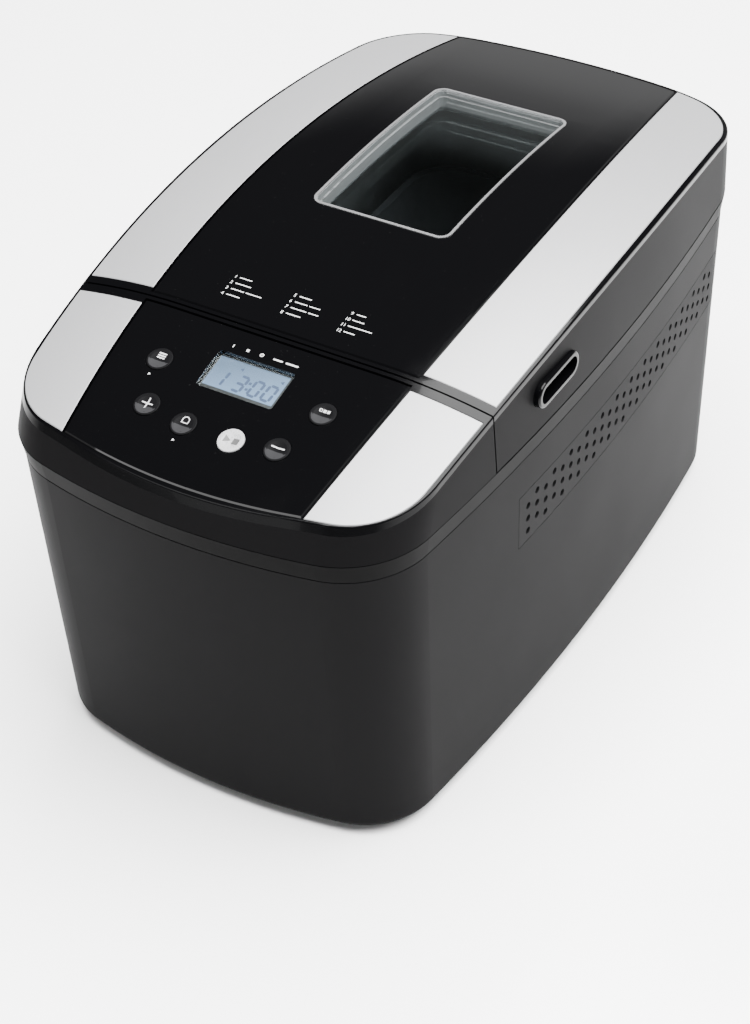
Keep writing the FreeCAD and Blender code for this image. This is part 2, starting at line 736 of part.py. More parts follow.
def vent_grille():
    """The right-hand grille with its staggered round holes."""
    strip = vent_block(0, 0, VENT_THICK).common(box(0, FAR, -FAR, FAR, 0, FAR))
    pitch = VENT_LENGTH / (VENT_COLUMNS + 1)
    middle = BODY_TOP - VENT_TOP - VENT_TALL / 2
    start = V(SIDE - 30, 0, 0)
    holes = []
    for column in range(VENT_COLUMNS):
        y = SPLIT + VENT_FRONT + pitch * (column + 1)
        stagger = VENT_ROW_PITCH / 4 * (1 if column % 2 else -1)
        for row in range(VENT_ROWS):
            z = middle + (row - (VENT_ROWS - 1) / 2) * VENT_ROW_PITCH + stagger
            holes.append(rod(VENT_HOLE, V(start.x, y, z), V(1, 0, 0), 60))
    return cut(strip, *holes)


def trim_block():
    return loft(TRIM_PLAN.inset(TRIM_INSET), BODY_TOP, TRIM_PLAN, TRIM_TOP)


def trim_band():
    outer = trim_block()
    outer = outer.makeChamfer(0.6, [e for e in outer.Edges if e.BoundBox.ZMin > TRIM_TOP - 0.01])
    return outer.cut(TRIM_PLAN.inset(TRIM_INSET + WALL).prism(BODY_TOP - 1, TRIM_TOP + 1))


def foot_places():
    plan = BASE_PLAN.inset(FOOT_INSET)
    corners = [plan.corner_points(rear)[1] for rear in (False, True)]
    return [(way * point.x, point.y) for point in corners for way in (-1, 1)]


def base_plate():
    plate = BASE_PLAN.inset(PLATE_INSET).prism(PLATE_UNDER, PLATE_TOP)
    holes = [post(SCREW_RADIUS + 0.1, x, y, 0, PLATE_TOP + 1) for x, y in foot_places()]
    return cut(plate, *holes)


def feet():
    pads = []
    for x, y in foot_places():
        pad = post(FOOT_RADIUS, x, y, 0, PLATE_UNDER)
        recess = post(SCREW_RADIUS * 2.4, x, y, -1, PLATE_UNDER + 1)
        pads.append(pad.cut(recess))
    return Part.makeCompound(pads)


def housing_screws():
    screws = []
    for x, y in foot_places():
        head = post(SCREW_RADIUS * 2, x, y, PLATE_UNDER - 1.6, PLATE_UNDER)
        shank = post(SCREW_RADIUS, x, y, PLATE_UNDER - 0.1, PLATE_TOP + WALL + 4)
        slot = box(x - 0.5, x + 0.5, y - FOOT_RADIUS, y + FOOT_RADIUS, 0, PLATE_UNDER - 1.0)
        screws.append(fuse(head, shank).cut(slot))
    return Part.makeCompound(screws)


def cord_inlet():
    """Moulded bush in the rear wall where a mains lead would leave."""
    plan = housing_plan(0, INLET_HEIGHT)
    offset = plan.end_radius - math.sqrt(plan.end_radius ** 2 - INLET_X ** 2)
    wall = plan.rear - offset
    start = V(INLET_X, wall - WALL - 12.0, INLET_HEIGHT)
    barrel = rod(INLET_RADIUS - 1.0, start, V(0, 1, 0), WALL + 12.0 + INLET_PROUD)
    nut = rod(INLET_RADIUS + 2.0, start, V(0, 1, 0), 3.0)
    bore = rod(3.6, start - V(0, 1, 0), V(0, 1, 0), WALL + 30.0)
    return fuse(barrel, nut).cut(bore)


# ---- chamber -------------------------------------------------------------
def chamber_block(inset, z0, z1):
    return rounded(CHAMBER_HALF - inset, CHAMBER_Y0 + inset, CHAMBER_Y1 - inset,
                   CHAMBER_CORNER - inset, z0, z1)


def chamber_liner():
    tub = chamber_block(0, CHAMBER_FLOOR - LINER, DECK_TOP)
    flange = chamber_block(-FLANGE, DECK_TOP, DECK_TOP + LINER)
    hollow = chamber_block(LINER, CHAMBER_FLOOR, DECK_TOP + 5)
    hubs = [post(HUB_RADIUS + 0.2, 0, y, 0, CHAMBER_FLOOR + 1) for y in SHAFTS.values()]
    leads = [rod(ELEMENT_RADIUS + 0.1, V(way * TERMINAL_SPREAD, CHAMBER_Y0 - 2, element_height()),
                 V(0, 1, 0), 6) for way in (-1, 1)]
    probe = rod(3.1, V(sensor_x(), CHAMBER_Y0 - 2, sensor_height()), V(0, 1, 0), 6)
    return cut(fuse(tub, flange), hollow, probe, *hubs, *leads)


def chamber_deck():
    """Plate between the trim band and the chamber's mouth."""
    plate = TRIM_PLAN.inset(TRIM_INSET + WALL + 0.1).prism(DECK_TOP - DECK, DECK_TOP)
    plate = plate.common(behind(SPLIT - SPLIT_GAP / 2 - WALL))
    return cut(plate, chamber_block(-0.2, 0, FAR))


def element_height():
    return CHAMBER_FLOOR + ELEMENT_RISE


def heating_element():
    """Tubular ring heater round the foot of the pan, with two terminals to the front."""
    inset = LINER + ELEMENT_GAP + ELEMENT_RADIUS
    half = CHAMBER_HALF - inset
    y0, y1 = CHAMBER_Y0 + inset, CHAMBER_Y1 - inset
    bend = CHAMBER_CORNER - inset
    hook = ELEMENT_RADIUS * 2.2
    z = element_height()
    slant = bend * (1 - math.sqrt(0.5))
    turn = hook * (1 - math.sqrt(0.5))

    def side(way):
        return [
            (V(way * TERMINAL_SPREAD, CHAMBER_Y0 - 14, z), None,
             V(way * TERMINAL_SPREAD, y0 - hook, z)),
            (V(way * TERMINAL_SPREAD, y0 - hook, z),
             V(way * (TERMINAL_SPREAD + turn), y0 - turn, z),
             V(way * (TERMINAL_SPREAD + hook), y0, z)),
            (V(way * (TERMINAL_SPREAD + hook), y0, z), None, V(way * (half - bend), y0, z)),
            (V(way * (half - bend), y0, z), V(way * (half - slant), y0 + slant, z),
             V(way * half, y0 + bend, z)),
            (V(way * half, y0 + bend, z), None, V(way * half, y1 - bend, z)),
            (V(way * half, y1 - bend, z), V(way * (half - slant), y1 - slant, z),
             V(way * (half - bend), y1, z)),
        ]

    def edge(start, through, end):
        if through is None:
            return Part.makeLine(start, end)
        return Part.Arc(start, through, end).toShape()

    right = [edge(*piece) for piece in side(1)]
    rear = [Part.makeLine(V(half - bend, y1, z), V(-(half - bend), y1, z))]
    left = [edge(end, through, start) for start, through, end in reversed(side(-1))]
    path = Part.Wire(right + rear + left)
    start = side(1)[0][0]
    section = Part.Wire([Part.makeCircle(ELEMENT_RADIUS, start, V(0, 1, 0))])
    return path.makePipeShell([section], True, False)


def sensor_x():
    return CHAMBER_HALF - CHAMBER_CORNER - 4.0


def sensor_height():
    return element_height() + 34.0


def temperature_sensor():
    start = V(sensor_x(), CHAMBER_Y0 - 10, sensor_height())
    probe = rod(3.0, start, V(0, 1, 0), 10 + LINER + 3.0)
    nut = rod(5.0, start + V(0, 4.5, 0), V(0, 1, 0), 5.5)
    return fuse(probe, nut)


def pan_seat():
    """Cast oval seat that the pan stands in, with holes for the drive hubs."""
    half_length = PAN_LONG - PAN_TAPER - 12.0
    ring = stadium(SEAT_HALF_WIDTH, half_length, CHAMBER_Y, CHAMBER_FLOOR, PAN_BOTTOM)
    hollow = stadium(SEAT_HALF_WIDTH - SEAT_WALL, half_length - SEAT_WALL, CHAMBER_Y,
                     CHAMBER_FLOOR + SEAT_FLOOR, PAN_BOTTOM + 1)
    hubs = [post(HUB_RADIUS + 0.2, 0, y, 0, PAN_BOTTOM) for y in SHAFTS.values()]
    return cut(ring, hollow, *hubs)


# ---- drive ---------------------------------------------------------------
def drive_base():
    """Cast bridge under the chamber that carries both drive shafts on four legs."""
    top = CHAMBER_FLOOR - LINER
    low = top - 4.0
    half_length = SHAFT_OFFSET + 34.0
    half_width = CHAMBER_HALF - 16.0
    plate = rounded(half_width, CHAMBER_Y - half_length, CHAMBER_Y + half_length, 10.0, low, top)
    hubs = [post(HUB_RADIUS, 0, y, HUB_LOW, HUB_HIGH) for y in SHAFTS.values()]
    legs = [post(5.0, x * (half_width - 6.0), CHAMBER_Y + y * (half_length - 6.0),
                 PLATE_TOP, low + 1) for x in (-1, 1) for y in (-1, 1)]
    bores = [post(BUSH_RADIUS, 0, y, 0, FAR) for y in SHAFTS.values()]
    return cut(fuse(plate, *hubs, *legs), *bores)


def shaft_bearings():
    bushes = []
    for y in SHAFTS.values():
        bush = post(BUSH_RADIUS, 0, y, HUB_LOW, HUB_HIGH)
        bushes.append(bush.cut(post(SHAFT_RADIUS + RUNNING, 0, y, 0, FAR)))
    return Part.makeCompound(bushes)


def drive_shaft(y):
    """Shaft with the two-lug dog that turns the pan's coupling."""
    low = PULLEY_LOW - 2.0
    disc_low, disc_high = HUB_HIGH + 0.4, HUB_HIGH + 2.6
    shaft = post(SHAFT_RADIUS, 0, y, low, disc_high)
    disc = post(DOG_RADIUS, 0, y, disc_low, disc_high)
    lugs = [box(way * LUG_MIDDLE - LUG_HALF, way * LUG_MIDDLE + LUG_HALF, y - 3.0, y + 3.0,
                disc_high - 0.1, disc_high + 3.0) for way in (-1, 1)]
    return fuse(shaft, disc, *lugs)


def grooved_wheel(radius, x, y, z0, z1, bore):
    """A flanged wheel whose rim takes a flat belt."""
    wheel = post(radius + 1.5, x, y, z0, z1)
    groove = post(radius + 5.0, x, y, z0 + BELT_MARGIN - 0.4, z1 - BELT_MARGIN + 0.4)
    groove = groove.cut(post(radius, x, y, z0, z1))
    return cut(wheel, groove, post(bore, x, y, z0 - 1, z1 + 1))


def main_pulley():
    y = SHAFTS["front"]
    big = grooved_wheel(PULLEY_RADIUS, 0, y, PULLEY_LOW, PULLEY_HIGH, SHAFT_RADIUS)
    pockets = [post(9.0, 26 * math.cos(turn), y + 26 * math.sin(turn), PULLEY_LOW - 1, PULLEY_HIGH + 1)
               for turn in [math.radians(60 * step) for step in range(6)]]
    small = grooved_wheel(LINK_RADIUS, 0, y, LINK_LOW, LINK_HIGH, SHAFT_RADIUS)
    neck = post(LINK_RADIUS - 2, 0, y, PULLEY_HIGH, LINK_LOW).cut(post(SHAFT_RADIUS, 0, y, 0, FAR))
    return fuse(cut(big, *pockets), small, neck)


def second_pulley():
    return grooved_wheel(LINK_RADIUS, 0, SHAFTS["rear"], LINK_LOW, LINK_HIGH, SHAFT_RADIUS)


def belt(x0, y0, radius0, x1, y1, radius1, z0, z1):
    """A flat belt round two wheels."""
    def loop(extra):
        gap = math.hypot(x1 - x0, y1 - y0)
        heading = math.atan2(y1 - y0, x1 - x0)
        spread = math.acos((radius0 - radius1) / gap)

        def on(x, y, radius, angle):
            return V(x + radius * math.cos(angle), y + radius * math.sin(angle), z0)

        r0, r1 = radius0 + extra, radius1 + extra
        a = on(x0, y0, r0, heading + spread)
        b = on(x0, y0, r0, heading + math.pi)
        c = on(x0, y0, r0, heading - spread)
        d = on(x1, y1, r1, heading - spread)
        e = on(x1, y1, r1, heading)
        f = on(x1, y1, r1, heading + spread)
        edges = [Part.Arc(a, b, c).toShape(), Part.makeLine(c, d),
                 Part.Arc(d, e, f).toShape(), Part.makeLine(f, a)]
        return Part.Face(Part.Wire(edges)).extrude(V(0, 0, z1 - z0))

    return loop(BELT + RUNNING).cut(loop(RUNNING))


def drive_belt():
    return belt(0, SHAFTS["front"], PULLEY_RADIUS, MOTOR_X, MOTOR_Y, MOTOR_PULLEY_RADIUS,
                PULLEY_LOW + BELT_MARGIN, PULLEY_HIGH - BELT_MARGIN)


def link_belt():
    return belt(0, SHAFTS["front"], LINK_RADIUS, 0, SHAFTS["rear"], LINK_RADIUS,
                LINK_LOW + BELT_MARGIN, LINK_HIGH - BELT_MARGIN)


def motor_pulley():
    wheel = grooved_wheel(MOTOR_PULLEY_RADIUS, MOTOR_X, MOTOR_Y, PULLEY_LOW, PULLEY_HIGH,
                          MOTOR_SHAFT_RADIUS)
    shaft = post(MOTOR_SHAFT_RADIUS, MOTOR_X, MOTOR_Y, PULLEY_LOW - 1, MOTOR_LOW + 20)
    return fuse(wheel, shaft)


def motor_body():
    can = post(MOTOR_RADIUS, MOTOR_X, MOTOR_Y, MOTOR_LOW, MOTOR_LOW + MOTOR_HEIGHT)
    can = soften(can, 3.0, lambda edge: edge.BoundBox.ZMin > MOTOR_LOW + 1 and edge.Closed)
    cap = post(12.0, MOTOR_X, MOTOR_Y, MOTOR_LOW + MOTOR_HEIGHT, MOTOR_LOW + MOTOR_HEIGHT + 5)
    return fuse(can, cap).cut(post(MOTOR_SHAFT_RADIUS + RUNNING, MOTOR_X, MOTOR_Y, 0, MOTOR_LOW + 22))


def motor_bracket():
    low = MOTOR_LOW - 3.0
    reach = MOTOR_RADIUS + 4.0
    plate = box(MOTOR_X - reach, MOTOR_X + reach, MOTOR_Y - BRACKET_FRONT, MOTOR_Y + BRACKET_BACK,
                low, MOTOR_LOW)
    legs = [post(4.0, MOTOR_X + x * (reach - 5), MOTOR_Y + y, PLATE_TOP, low + 1)
            for x in (-1, 1) for y in (5 - BRACKET_FRONT, BRACKET_BACK - 5)]
    return fuse(plate, *legs).cut(post(8.0, MOTOR_X, MOTOR_Y, 0, FAR))


def power_board():
    """Power board standing on its edge beside the motor, with its larger components."""
    x = MOTOR_X + MOTOR_RADIUS + 34.0
    y0, y1 = FRONT + 28.0, SPLIT - 6.0
    low = PLATE_TOP + WALL
    board = box(x, x + BOARD, y0, y1, low, low + 62)
    transformer = box(x - 24, x, y0 + 6, y0 + 32, low + 8, low + 38)
    relay = box(x - 16, x, y0 + 40, y0 + 56, low + 12, low + 30)
    capacitor = rod(6.0, V(x, y0 + 46, low + 46), V(-1, 0, 0), 22)
    return fuse(board, transformer, relay, capacitor)


# ---- pan and paddles -----------------------------------------------------
def pan_plan_block(inset, z0, z1):
    """The tapered pan as a block, further in by inset."""
    def section(z):
        share = (PAN_TOP - z) / (PAN_TOP - PAN_BOTTOM)
        trim = PAN_TAPER * share + inset
        flat = rounded(PAN_HALF - trim, CHAMBER_Y - PAN_LONG + trim, CHAMBER_Y + PAN_LONG - trim,
                       PAN_CORNER - inset, z, z + 1)
        return min(flat.Faces, key=lambda face: face.CenterOfMass.z).OuterWire

    return Part.makeLoft([section(z0), section(z1)], True, True)


def bread_pan():
    tub = pan_plan_block(0, PAN_BOTTOM, PAN_TOP)
    lip = pan_plan_block(-PAN_LIP, PAN_TOP - 2.0, PAN_TOP)
    hollow = pan_plan_block(PAN_WALL, PAN_BOTTOM + PAN_WALL, PAN_TOP + 2)
    ears = []
    for way in (-1, 1):
        inner = CHAMBER_Y + way * (PAN_LONG - 0.2)
        y0, y1 = sorted((inner, inner + way * EAR))
        plate = box(-8.0, 8.0, y0, y1, PAN_TOP - 14.0, BAIL_Z)
        top = rod(8.0, V(0, y0, BAIL_Z), V(0, 1, 0), y1 - y0)
        bore = rod(BAIL_ROD + BAIL_GAP, V(0, y0 - 1, BAIL_Z), V(0, 1, 0), EAR + 2)
        ears.append(fuse(plate, top).cut(bore))
    bushes = [post(BUSH_RADIUS, 0, y, 0, FAR) for y in SHAFTS.values()]
    return cut(fuse(tub, lip, *ears), hollow, *bushes)


def pan_bushes():
    bushes = []
    for y in SHAFTS.values():
        body = post(BUSH_RADIUS, 0, y, PAN_BOTTOM - 0.6, PAN_BOTTOM + 7.0)
        flange = post(BUSH_RADIUS + 2.0, 0, y, PAN_BOTTOM + PAN_WALL, PAN_BOTTOM + PAN_WALL + 1.5)
        bore = post(SHAFT_RADIUS + RUNNING, 0, y, 0, FAR)
        bushes.append(fuse(body, flange).cut(bore))
    return Part.makeCompound(bushes)


def pan_handle():
    """Wire bail, folded to the right across the pan."""
    reach = BAIL_REACH
    bend = 12.0
    slant = bend * (1 - math.sqrt(0.5))
    y0 = CHAMBER_Y - PAN_LONG + 7.0
    y1 = CHAMBER_Y + PAN_LONG - 7.0
    z = BAIL_Z

    def at(x, y):
        return V(x, y, z)

    def hook(y, way):
        pin = rod(BAIL_ROD, at(0, y), V(0, way, 0), 7.0 + EAR + 1.0)
        return fuse(pin, Part.makeSphere(BAIL_ROD, at(0, y)))

    edges = [
        Part.makeLine(at(0, y0), at(reach - bend, y0)),
        Part.Arc(at(reach - bend, y0), at(reach - slant, y0 + slant), at(reach, y0 + bend)).toShape(),
        Part.makeLine(at(reach, y0 + bend), at(reach, y1 - bend)),
        Part.Arc(at(reach, y1 - bend), at(reach - slant, y1 - slant), at(reach - bend, y1)).toShape(),
        Part.makeLine(at(reach - bend, y1), at(0, y1)),
    ]
    section = Part.Wire([Part.makeCircle(BAIL_ROD, at(0, y0), V(1, 0, 0))])
    bow = Part.Wire(edges).makePipeShell([section], True, False)
    return fuse(bow, hook(y0, -1), hook(y1, 1))


def paddle_shaft(y):
    """Short shaft in the pan's floor, with the wing that the drive dog turns."""
    wing_low = HUB_HIGH + 3.2
    shaft = post(SHAFT_RADIUS, 0, y, wing_low, PAN_BOTTOM + 6.0 + PADDLE_HEIGHT)
    flat = box(2.6, 8, y - 8, y + 8, PAN_BOTTOM + 7.1, FAR)
    wing = box(-WING_WIDTH / 2, WING_WIDTH / 2, y - WING_LENGTH / 2, y + WING_LENGTH / 2,
               wing_low, wing_low + 2.4)
    return cut(fuse(shaft, wing), flat)


def paddle(y, heading):
    """Kneading paddle: a D-bored hub with one leaning blade."""
    low = PAN_BOTTOM + 7.4
    high = low + PADDLE_HEIGHT
    reach = min(PAN_HALF - PAN_TAPER, SHAFT_OFFSET) - PADDLE_CLEARANCE
    hub = Part.makeCone(PADDLE_HUB, PADDLE_HUB - 2.0, PADDLE_HEIGHT, V(0, y, low))
    half = PADDLE_THICKNESS / 2
    outline = [V(0, -half, 0), V(reach, -half, 0), V(reach, half, 0), V(0, half, 0)]
    base = Part.Face(Part.makePolygon(outline + outline[:1]))
    blade = base.extrude(V(-4.0, 3.0, PADDLE_HEIGHT + 6.0))
    tip = [e for e in blade.Edges if e.BoundBox.XMin > reach - 5.0 and e.Length > PADDLE_HEIGHT]
    blade = blade.makeFillet(1.2, tip)
    blade.rotate(V(0, 0, 0), V(0, 0, 1), heading)
    blade.translate(V(0, y, low))
    key = box(2.65, 8, y - 8, y + 8, low - 1, FAR)
    bore = post(SHAFT_RADIUS + RUNNING, 0, y, low - 1, high - 1.0).cut(key)
    return fuse(hub, blade).cut(bore)


# ---- hinge ---------------------------------------------------------------
def hinge_barrel():
    """Fixed middle knuckle on a bracket that wraps the rear of the trim band."""
    half = BARREL_HALF
    knuckle = rod(KNUCKLE_RADIUS, V(-half, HINGE_Y, HINGE_Z), V(1, 0, 0), 2 * half)
    bracket = box(-half, half, REAR - 24.0, HINGE_Y + 1.0, TRIM_TOP - LEAF_DROP, TRIM_TOP)
    wall = fuse(housing_block(0, BODY_TOP - LEAF_DROP, BODY_TOP), trim_block())
    bore = rod(PIN_RADIUS, V(-half - 1, HINGE_Y, HINGE_Z), V(1, 0, 0), 2 * half + 2)
    return fuse(knuckle, bracket.cut(wall)).cut(bore)


def hinge_pin():
    half = BARREL_HALF + KNUCKLE_GAP + KNUCKLE
    return rod(PIN_RADIUS, V(-half, HINGE_Y, HINGE_Z), V(1, 0, 0), 2 * half)


# ---- the whole machine ---------------------------------------------------
def make_parts():
    whole = crown()
    space = lid_space()
    right_trim, right_strip = corner_trim(), silver_strip()
    right_grip, right_vent, right_arm = lid_grip(), vent_grille(), hinge_arm()
    parts = {
        "housing": housing(),
        "base_plate": base_plate(),
        "feet": feet(),
        "housing_screws": housing_screws(),
        "trim_band": trim_band(),
        "vent_grille_right": right_vent,
        "vent_grille_left": mirrored(right_vent),
        "cord_inlet": cord_inlet(),
        "control_collar": control_collar(whole),
        "collar_frame": collar_frame(whole),
        "control_panel": control_panel(),
        "corner_trim_right": right_trim,
        "corner_trim_left": mirrored(right_trim),
        "lcd_lens": lcd_lens(),
        "lcd_module": lcd_module(),
        "control_board": control_board(),
        "chamber_deck": chamber_deck(),
        "chamber_liner": chamber_liner(),
        "heating_element": heating_element(),
        "temperature_sensor": temperature_sensor(),
        "pan_seat": pan_seat(),
        "drive_base": drive_base(),
        "shaft_bearings": shaft_bearings(),
        "main_shaft": drive_shaft(SHAFTS["front"]),
        "second_shaft": drive_shaft(SHAFTS["rear"]),
        "main_pulley": main_pulley(),
        "second_pulley": second_pulley(),
        "drive_belt": drive_belt(),
        "link_belt": link_belt(),
        "motor_pulley": motor_pulley(),
        "motor_body": motor_body(),
        "motor_bracket": motor_bracket(),
        "power_board": power_board(),
        "hinge_barrel": hinge_barrel(),
        "hinge_pin": hinge_pin(),
        "bread_pan": bread_pan(),
        "pan_bushes": pan_bushes(),
        "pan_handle": pan_handle(),
        "paddle_shaft_front": paddle_shaft(SHAFTS["front"]),
        "paddle_shaft_rear": paddle_shaft(SHAFTS["rear"]),
        "paddle_front": paddle(SHAFTS["front"], 20.0),
        "paddle_rear": paddle(SHAFTS["rear"], 200.0),
        "lid_shell": lid_shell(whole, space),
        "lid_frame": lid_frame(whole, space),
        "lid_panel": lid_panel(),
        "silver_strip_right": right_strip,
        "silver_strip_left": mirrored(right_strip),
        "window_glass": window_glass(),
        "inner_glass": inner_glass(),
        "window_well": window_well(),
        "lid_liner": lid_liner(),
        "lid_grip_right": right_grip,
        "lid_grip_left": mirrored(right_grip),
        "hinge_arms": Part.makeCompound([right_arm, mirrored(right_arm)]),
    }
    parts.update({name: button(name) for name in BUTTONS})
    return parts


if __name__ == "__main__":
    os.makedirs("parts", exist_ok=True)
    for name, shape in make_parts().items():
        shape.exportStep(f"parts/{name}.step")
        size = shape.BoundBox
        print(f"{name:20s} solids {len(shape.Solids)} valid {shape.isValid()} "
              f"volume {shape.Volume / 1000:8.1f} cm3 "
              f"x {size.XMin:7.1f} {size.XMax:7.1f} y {size.YMin:7.1f} {size.YMax:7.1f} "
              f"z {size.ZMin:6.1f} {size.ZMax:6.1f}")
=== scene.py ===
"""Looks of a two-paddle bread machine: a finish for every part, and the fine pieces on them.

+X is the right side seen from the controls, -Y is the front, +Z is up. Sizes are in metres.
"""

import math

import bpy
from bpy.props import FloatProperty, FloatVectorProperty, PointerProperty
from mathutils import Matrix, Vector


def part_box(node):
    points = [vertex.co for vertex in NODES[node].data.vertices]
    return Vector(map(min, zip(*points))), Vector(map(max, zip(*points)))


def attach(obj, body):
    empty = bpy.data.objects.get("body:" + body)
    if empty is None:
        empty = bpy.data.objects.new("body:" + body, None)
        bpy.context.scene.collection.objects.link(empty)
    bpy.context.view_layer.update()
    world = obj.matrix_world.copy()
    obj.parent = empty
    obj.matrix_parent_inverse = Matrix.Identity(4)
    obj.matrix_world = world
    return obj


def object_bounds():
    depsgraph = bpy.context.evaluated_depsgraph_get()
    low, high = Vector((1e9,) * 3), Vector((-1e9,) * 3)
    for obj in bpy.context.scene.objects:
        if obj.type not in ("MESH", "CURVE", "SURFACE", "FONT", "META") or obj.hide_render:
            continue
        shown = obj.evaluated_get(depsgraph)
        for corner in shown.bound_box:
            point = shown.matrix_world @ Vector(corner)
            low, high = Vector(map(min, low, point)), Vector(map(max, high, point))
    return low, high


bl_info = {
    "name": "Bread machine",
    "version": (1, 0, 0),
    "blender": (4, 5, 0),
    "location": "View3D > Sidebar > Bread machine",
    "description": "Finishes and fine detail of a two-paddle bread machine",
    "category": "Object",
}

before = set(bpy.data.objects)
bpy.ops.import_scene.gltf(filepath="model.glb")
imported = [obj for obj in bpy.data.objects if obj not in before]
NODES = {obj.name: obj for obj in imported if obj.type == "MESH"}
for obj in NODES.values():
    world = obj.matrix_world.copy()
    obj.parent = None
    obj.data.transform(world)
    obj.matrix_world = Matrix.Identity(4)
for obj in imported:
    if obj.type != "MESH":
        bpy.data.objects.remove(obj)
CAD_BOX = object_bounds()
FRONT = CAD_BOX[0].y
MM = 0.001

# The crowned top, as an arch that runs from front to rear.
CROWN_RADIUS = 0.788
CROWN_PEAK_Y = FRONT + 0.255
CROWN_PEAK_Z = 0.2495

# The display's window in the control panel: its middle, half its sides, and its soft edge.
DISPLAY_X = -0.75 * MM
DISPLAY_Y = FRONT + 79.0 * MM
DISPLAY_HALF_WIDTH = 20.7 * MM
DISPLAY_HALF_HEIGHT = 9.4 * MM
DISPLAY_EDGE = 0.1 * MM

# Rows of print on the panels.
ICONS_Y = FRONT + 93.85 * MM
LIST_Y = FRONT + 136.25 * MM

# The dark keys, and every key's middle, behind the front edge.
DARK_KEYS = ("menu_button", "colour_button", "plus_button", "minus_button", "loaf_button")
KEY_BACK = {"menu_button": 72.5 * MM, "colour_button": 72.5 * MM, "plus_button": 46.0 * MM,
            "minus_button": 46.0 * MM, "loaf_button": 42.5 * MM, "start_button": 42.5 * MM}

# Text size over the height of a figure, and the angle below which edges are smoothed.
TEXT_SIZE = 1.42
SMOOTH_ANGLE = math.radians(35)


# ---- settings ------------------------------------------------------------
def colour(name, description, default):
    return FloatVectorProperty(name=name, description=description, subtype="COLOR",
                               size=3, min=0.0, max=1.0, default=default)


def length(name, description, default_mm):
    return FloatProperty(name=name, description=description, default=default_mm * MM,
                         min=0.0, subtype="DISTANCE", unit="LENGTH")


class MachineColours(bpy.types.PropertyGroup):
    """Colours of the machine's finishes."""
    body: colour("Body plastic", "Matte plastic of housing and skirts", (0.0036, 0.0035, 0.0037))
    grille: colour("Grille plastic", "Side vent strips", (0.0075, 0.0074, 0.0077))
    gloss: colour("Gloss black", "Centre panels and rim", (0.0012, 0.0012, 0.0014))
    silver: colour("Silver trim", "Satin strips and corners", (0.29, 0.29, 0.296))
    key: colour("Key black", "Dark keys", (0.003, 0.003, 0.0033))
    # Painted highlight: a lighter crescent that stands for light caught by each dark key's scoop.
    moon: colour("Key scoop highlight", "Lighter crescent on each dark key", (0.018, 0.018, 0.019))
    start: colour("Start key", "Light speckled key", (0.27, 0.27, 0.277))
    ink: colour("Print", "Printed figures, bars and symbols", (0.42, 0.42, 0.42))
    display: colour("Display", "Background of the display", (0.07, 0.11, 0.175))
    digit: colour("Digits", "Digits on the display", (0.015, 0.03, 0.07))
    nonstick: colour("Non-stick", "Coating of pan and paddles", (0.035, 0.035, 0.038))
    steel: colour("Steel", "Chamber and lid liners", (0.56, 0.56, 0.57))
    bezel: colour("Window frame", "Polished frame round the window", (0.7, 0.7, 0.71))


class MachineSizes(bpy.types.PropertyGroup):
    """Sizes of the fine pieces."""
    print_depth: length("Print thickness", "Thickness of printed marks", 0.08)
    figure: length("Figure height", "Height of the printed figures", 2.1)
    row: length("Row pitch", "Distance between the rows of the list", 4.3)
    digit: length("Digit height", "Height of the display's digits", 9.6)
    segment: length("Segment width", "Width of one bar of a digit", 1.6)
    symbol: length("Symbol size", "Size of the symbols on the keys", 6.4)


class StudioSettings(bpy.types.PropertyGroup):
    """Camera, lights and floor."""
    azimuth: FloatProperty(name="Azimuth", description="Camera's turn round the machine",
                           default=math.radians(33.79), subtype="ANGLE", unit="ROTATION")
    elevation: FloatProperty(name="Elevation", description="Camera's angle above the horizon",
                             default=math.radians(40.36), subtype="ANGLE", unit="ROTATION")
    roll: FloatProperty(name="Roll", description="Camera's turn about its own axis",
                        default=math.radians(-3.76), subtype="ANGLE", unit="ROTATION")
    distance: FloatProperty(name="Distance", description="From the camera to its target",
                            default=1.0667, min=0.1, subtype="DISTANCE", unit="LENGTH")
    target: FloatVectorProperty(name="Target", description="Point that the camera looks at",
                                default=(0.1138, -0.2048, 0.236), subtype="XYZ", unit="LENGTH")
    lens: FloatProperty(name="Lens", description="Focal length in millimetres", default=82.49,
                        min=10.0)
    floor: colour("Floor", "Plain pale floor", (0.97, 0.97, 0.97))
    world: FloatProperty(name="Surroundings", description="Brightness of the surroundings",
                         default=0.5, min=0.0)


# ---- shader nodes --------------------------------------------------------
class Value:
    """A node's output. Arithmetic on it adds Math nodes."""

    def __init__(self, finish, socket):
        self.finish, self.socket = finish, socket

    def _math(self, operation, first, second):
        return self.finish.node("ShaderNodeMath", {"operation": operation}, {0: first, 1: second})

    def __add__(self, other):
        return self._math("ADD", self, other)

    def __sub__(self, other):
        return self._math("SUBTRACT", self, other)

    def __rsub__(self, other):
        return self._math("SUBTRACT", other, self)

    def __mul__(self, other):
        return self._math("MULTIPLY", self, other)

    __radd__ = __add__


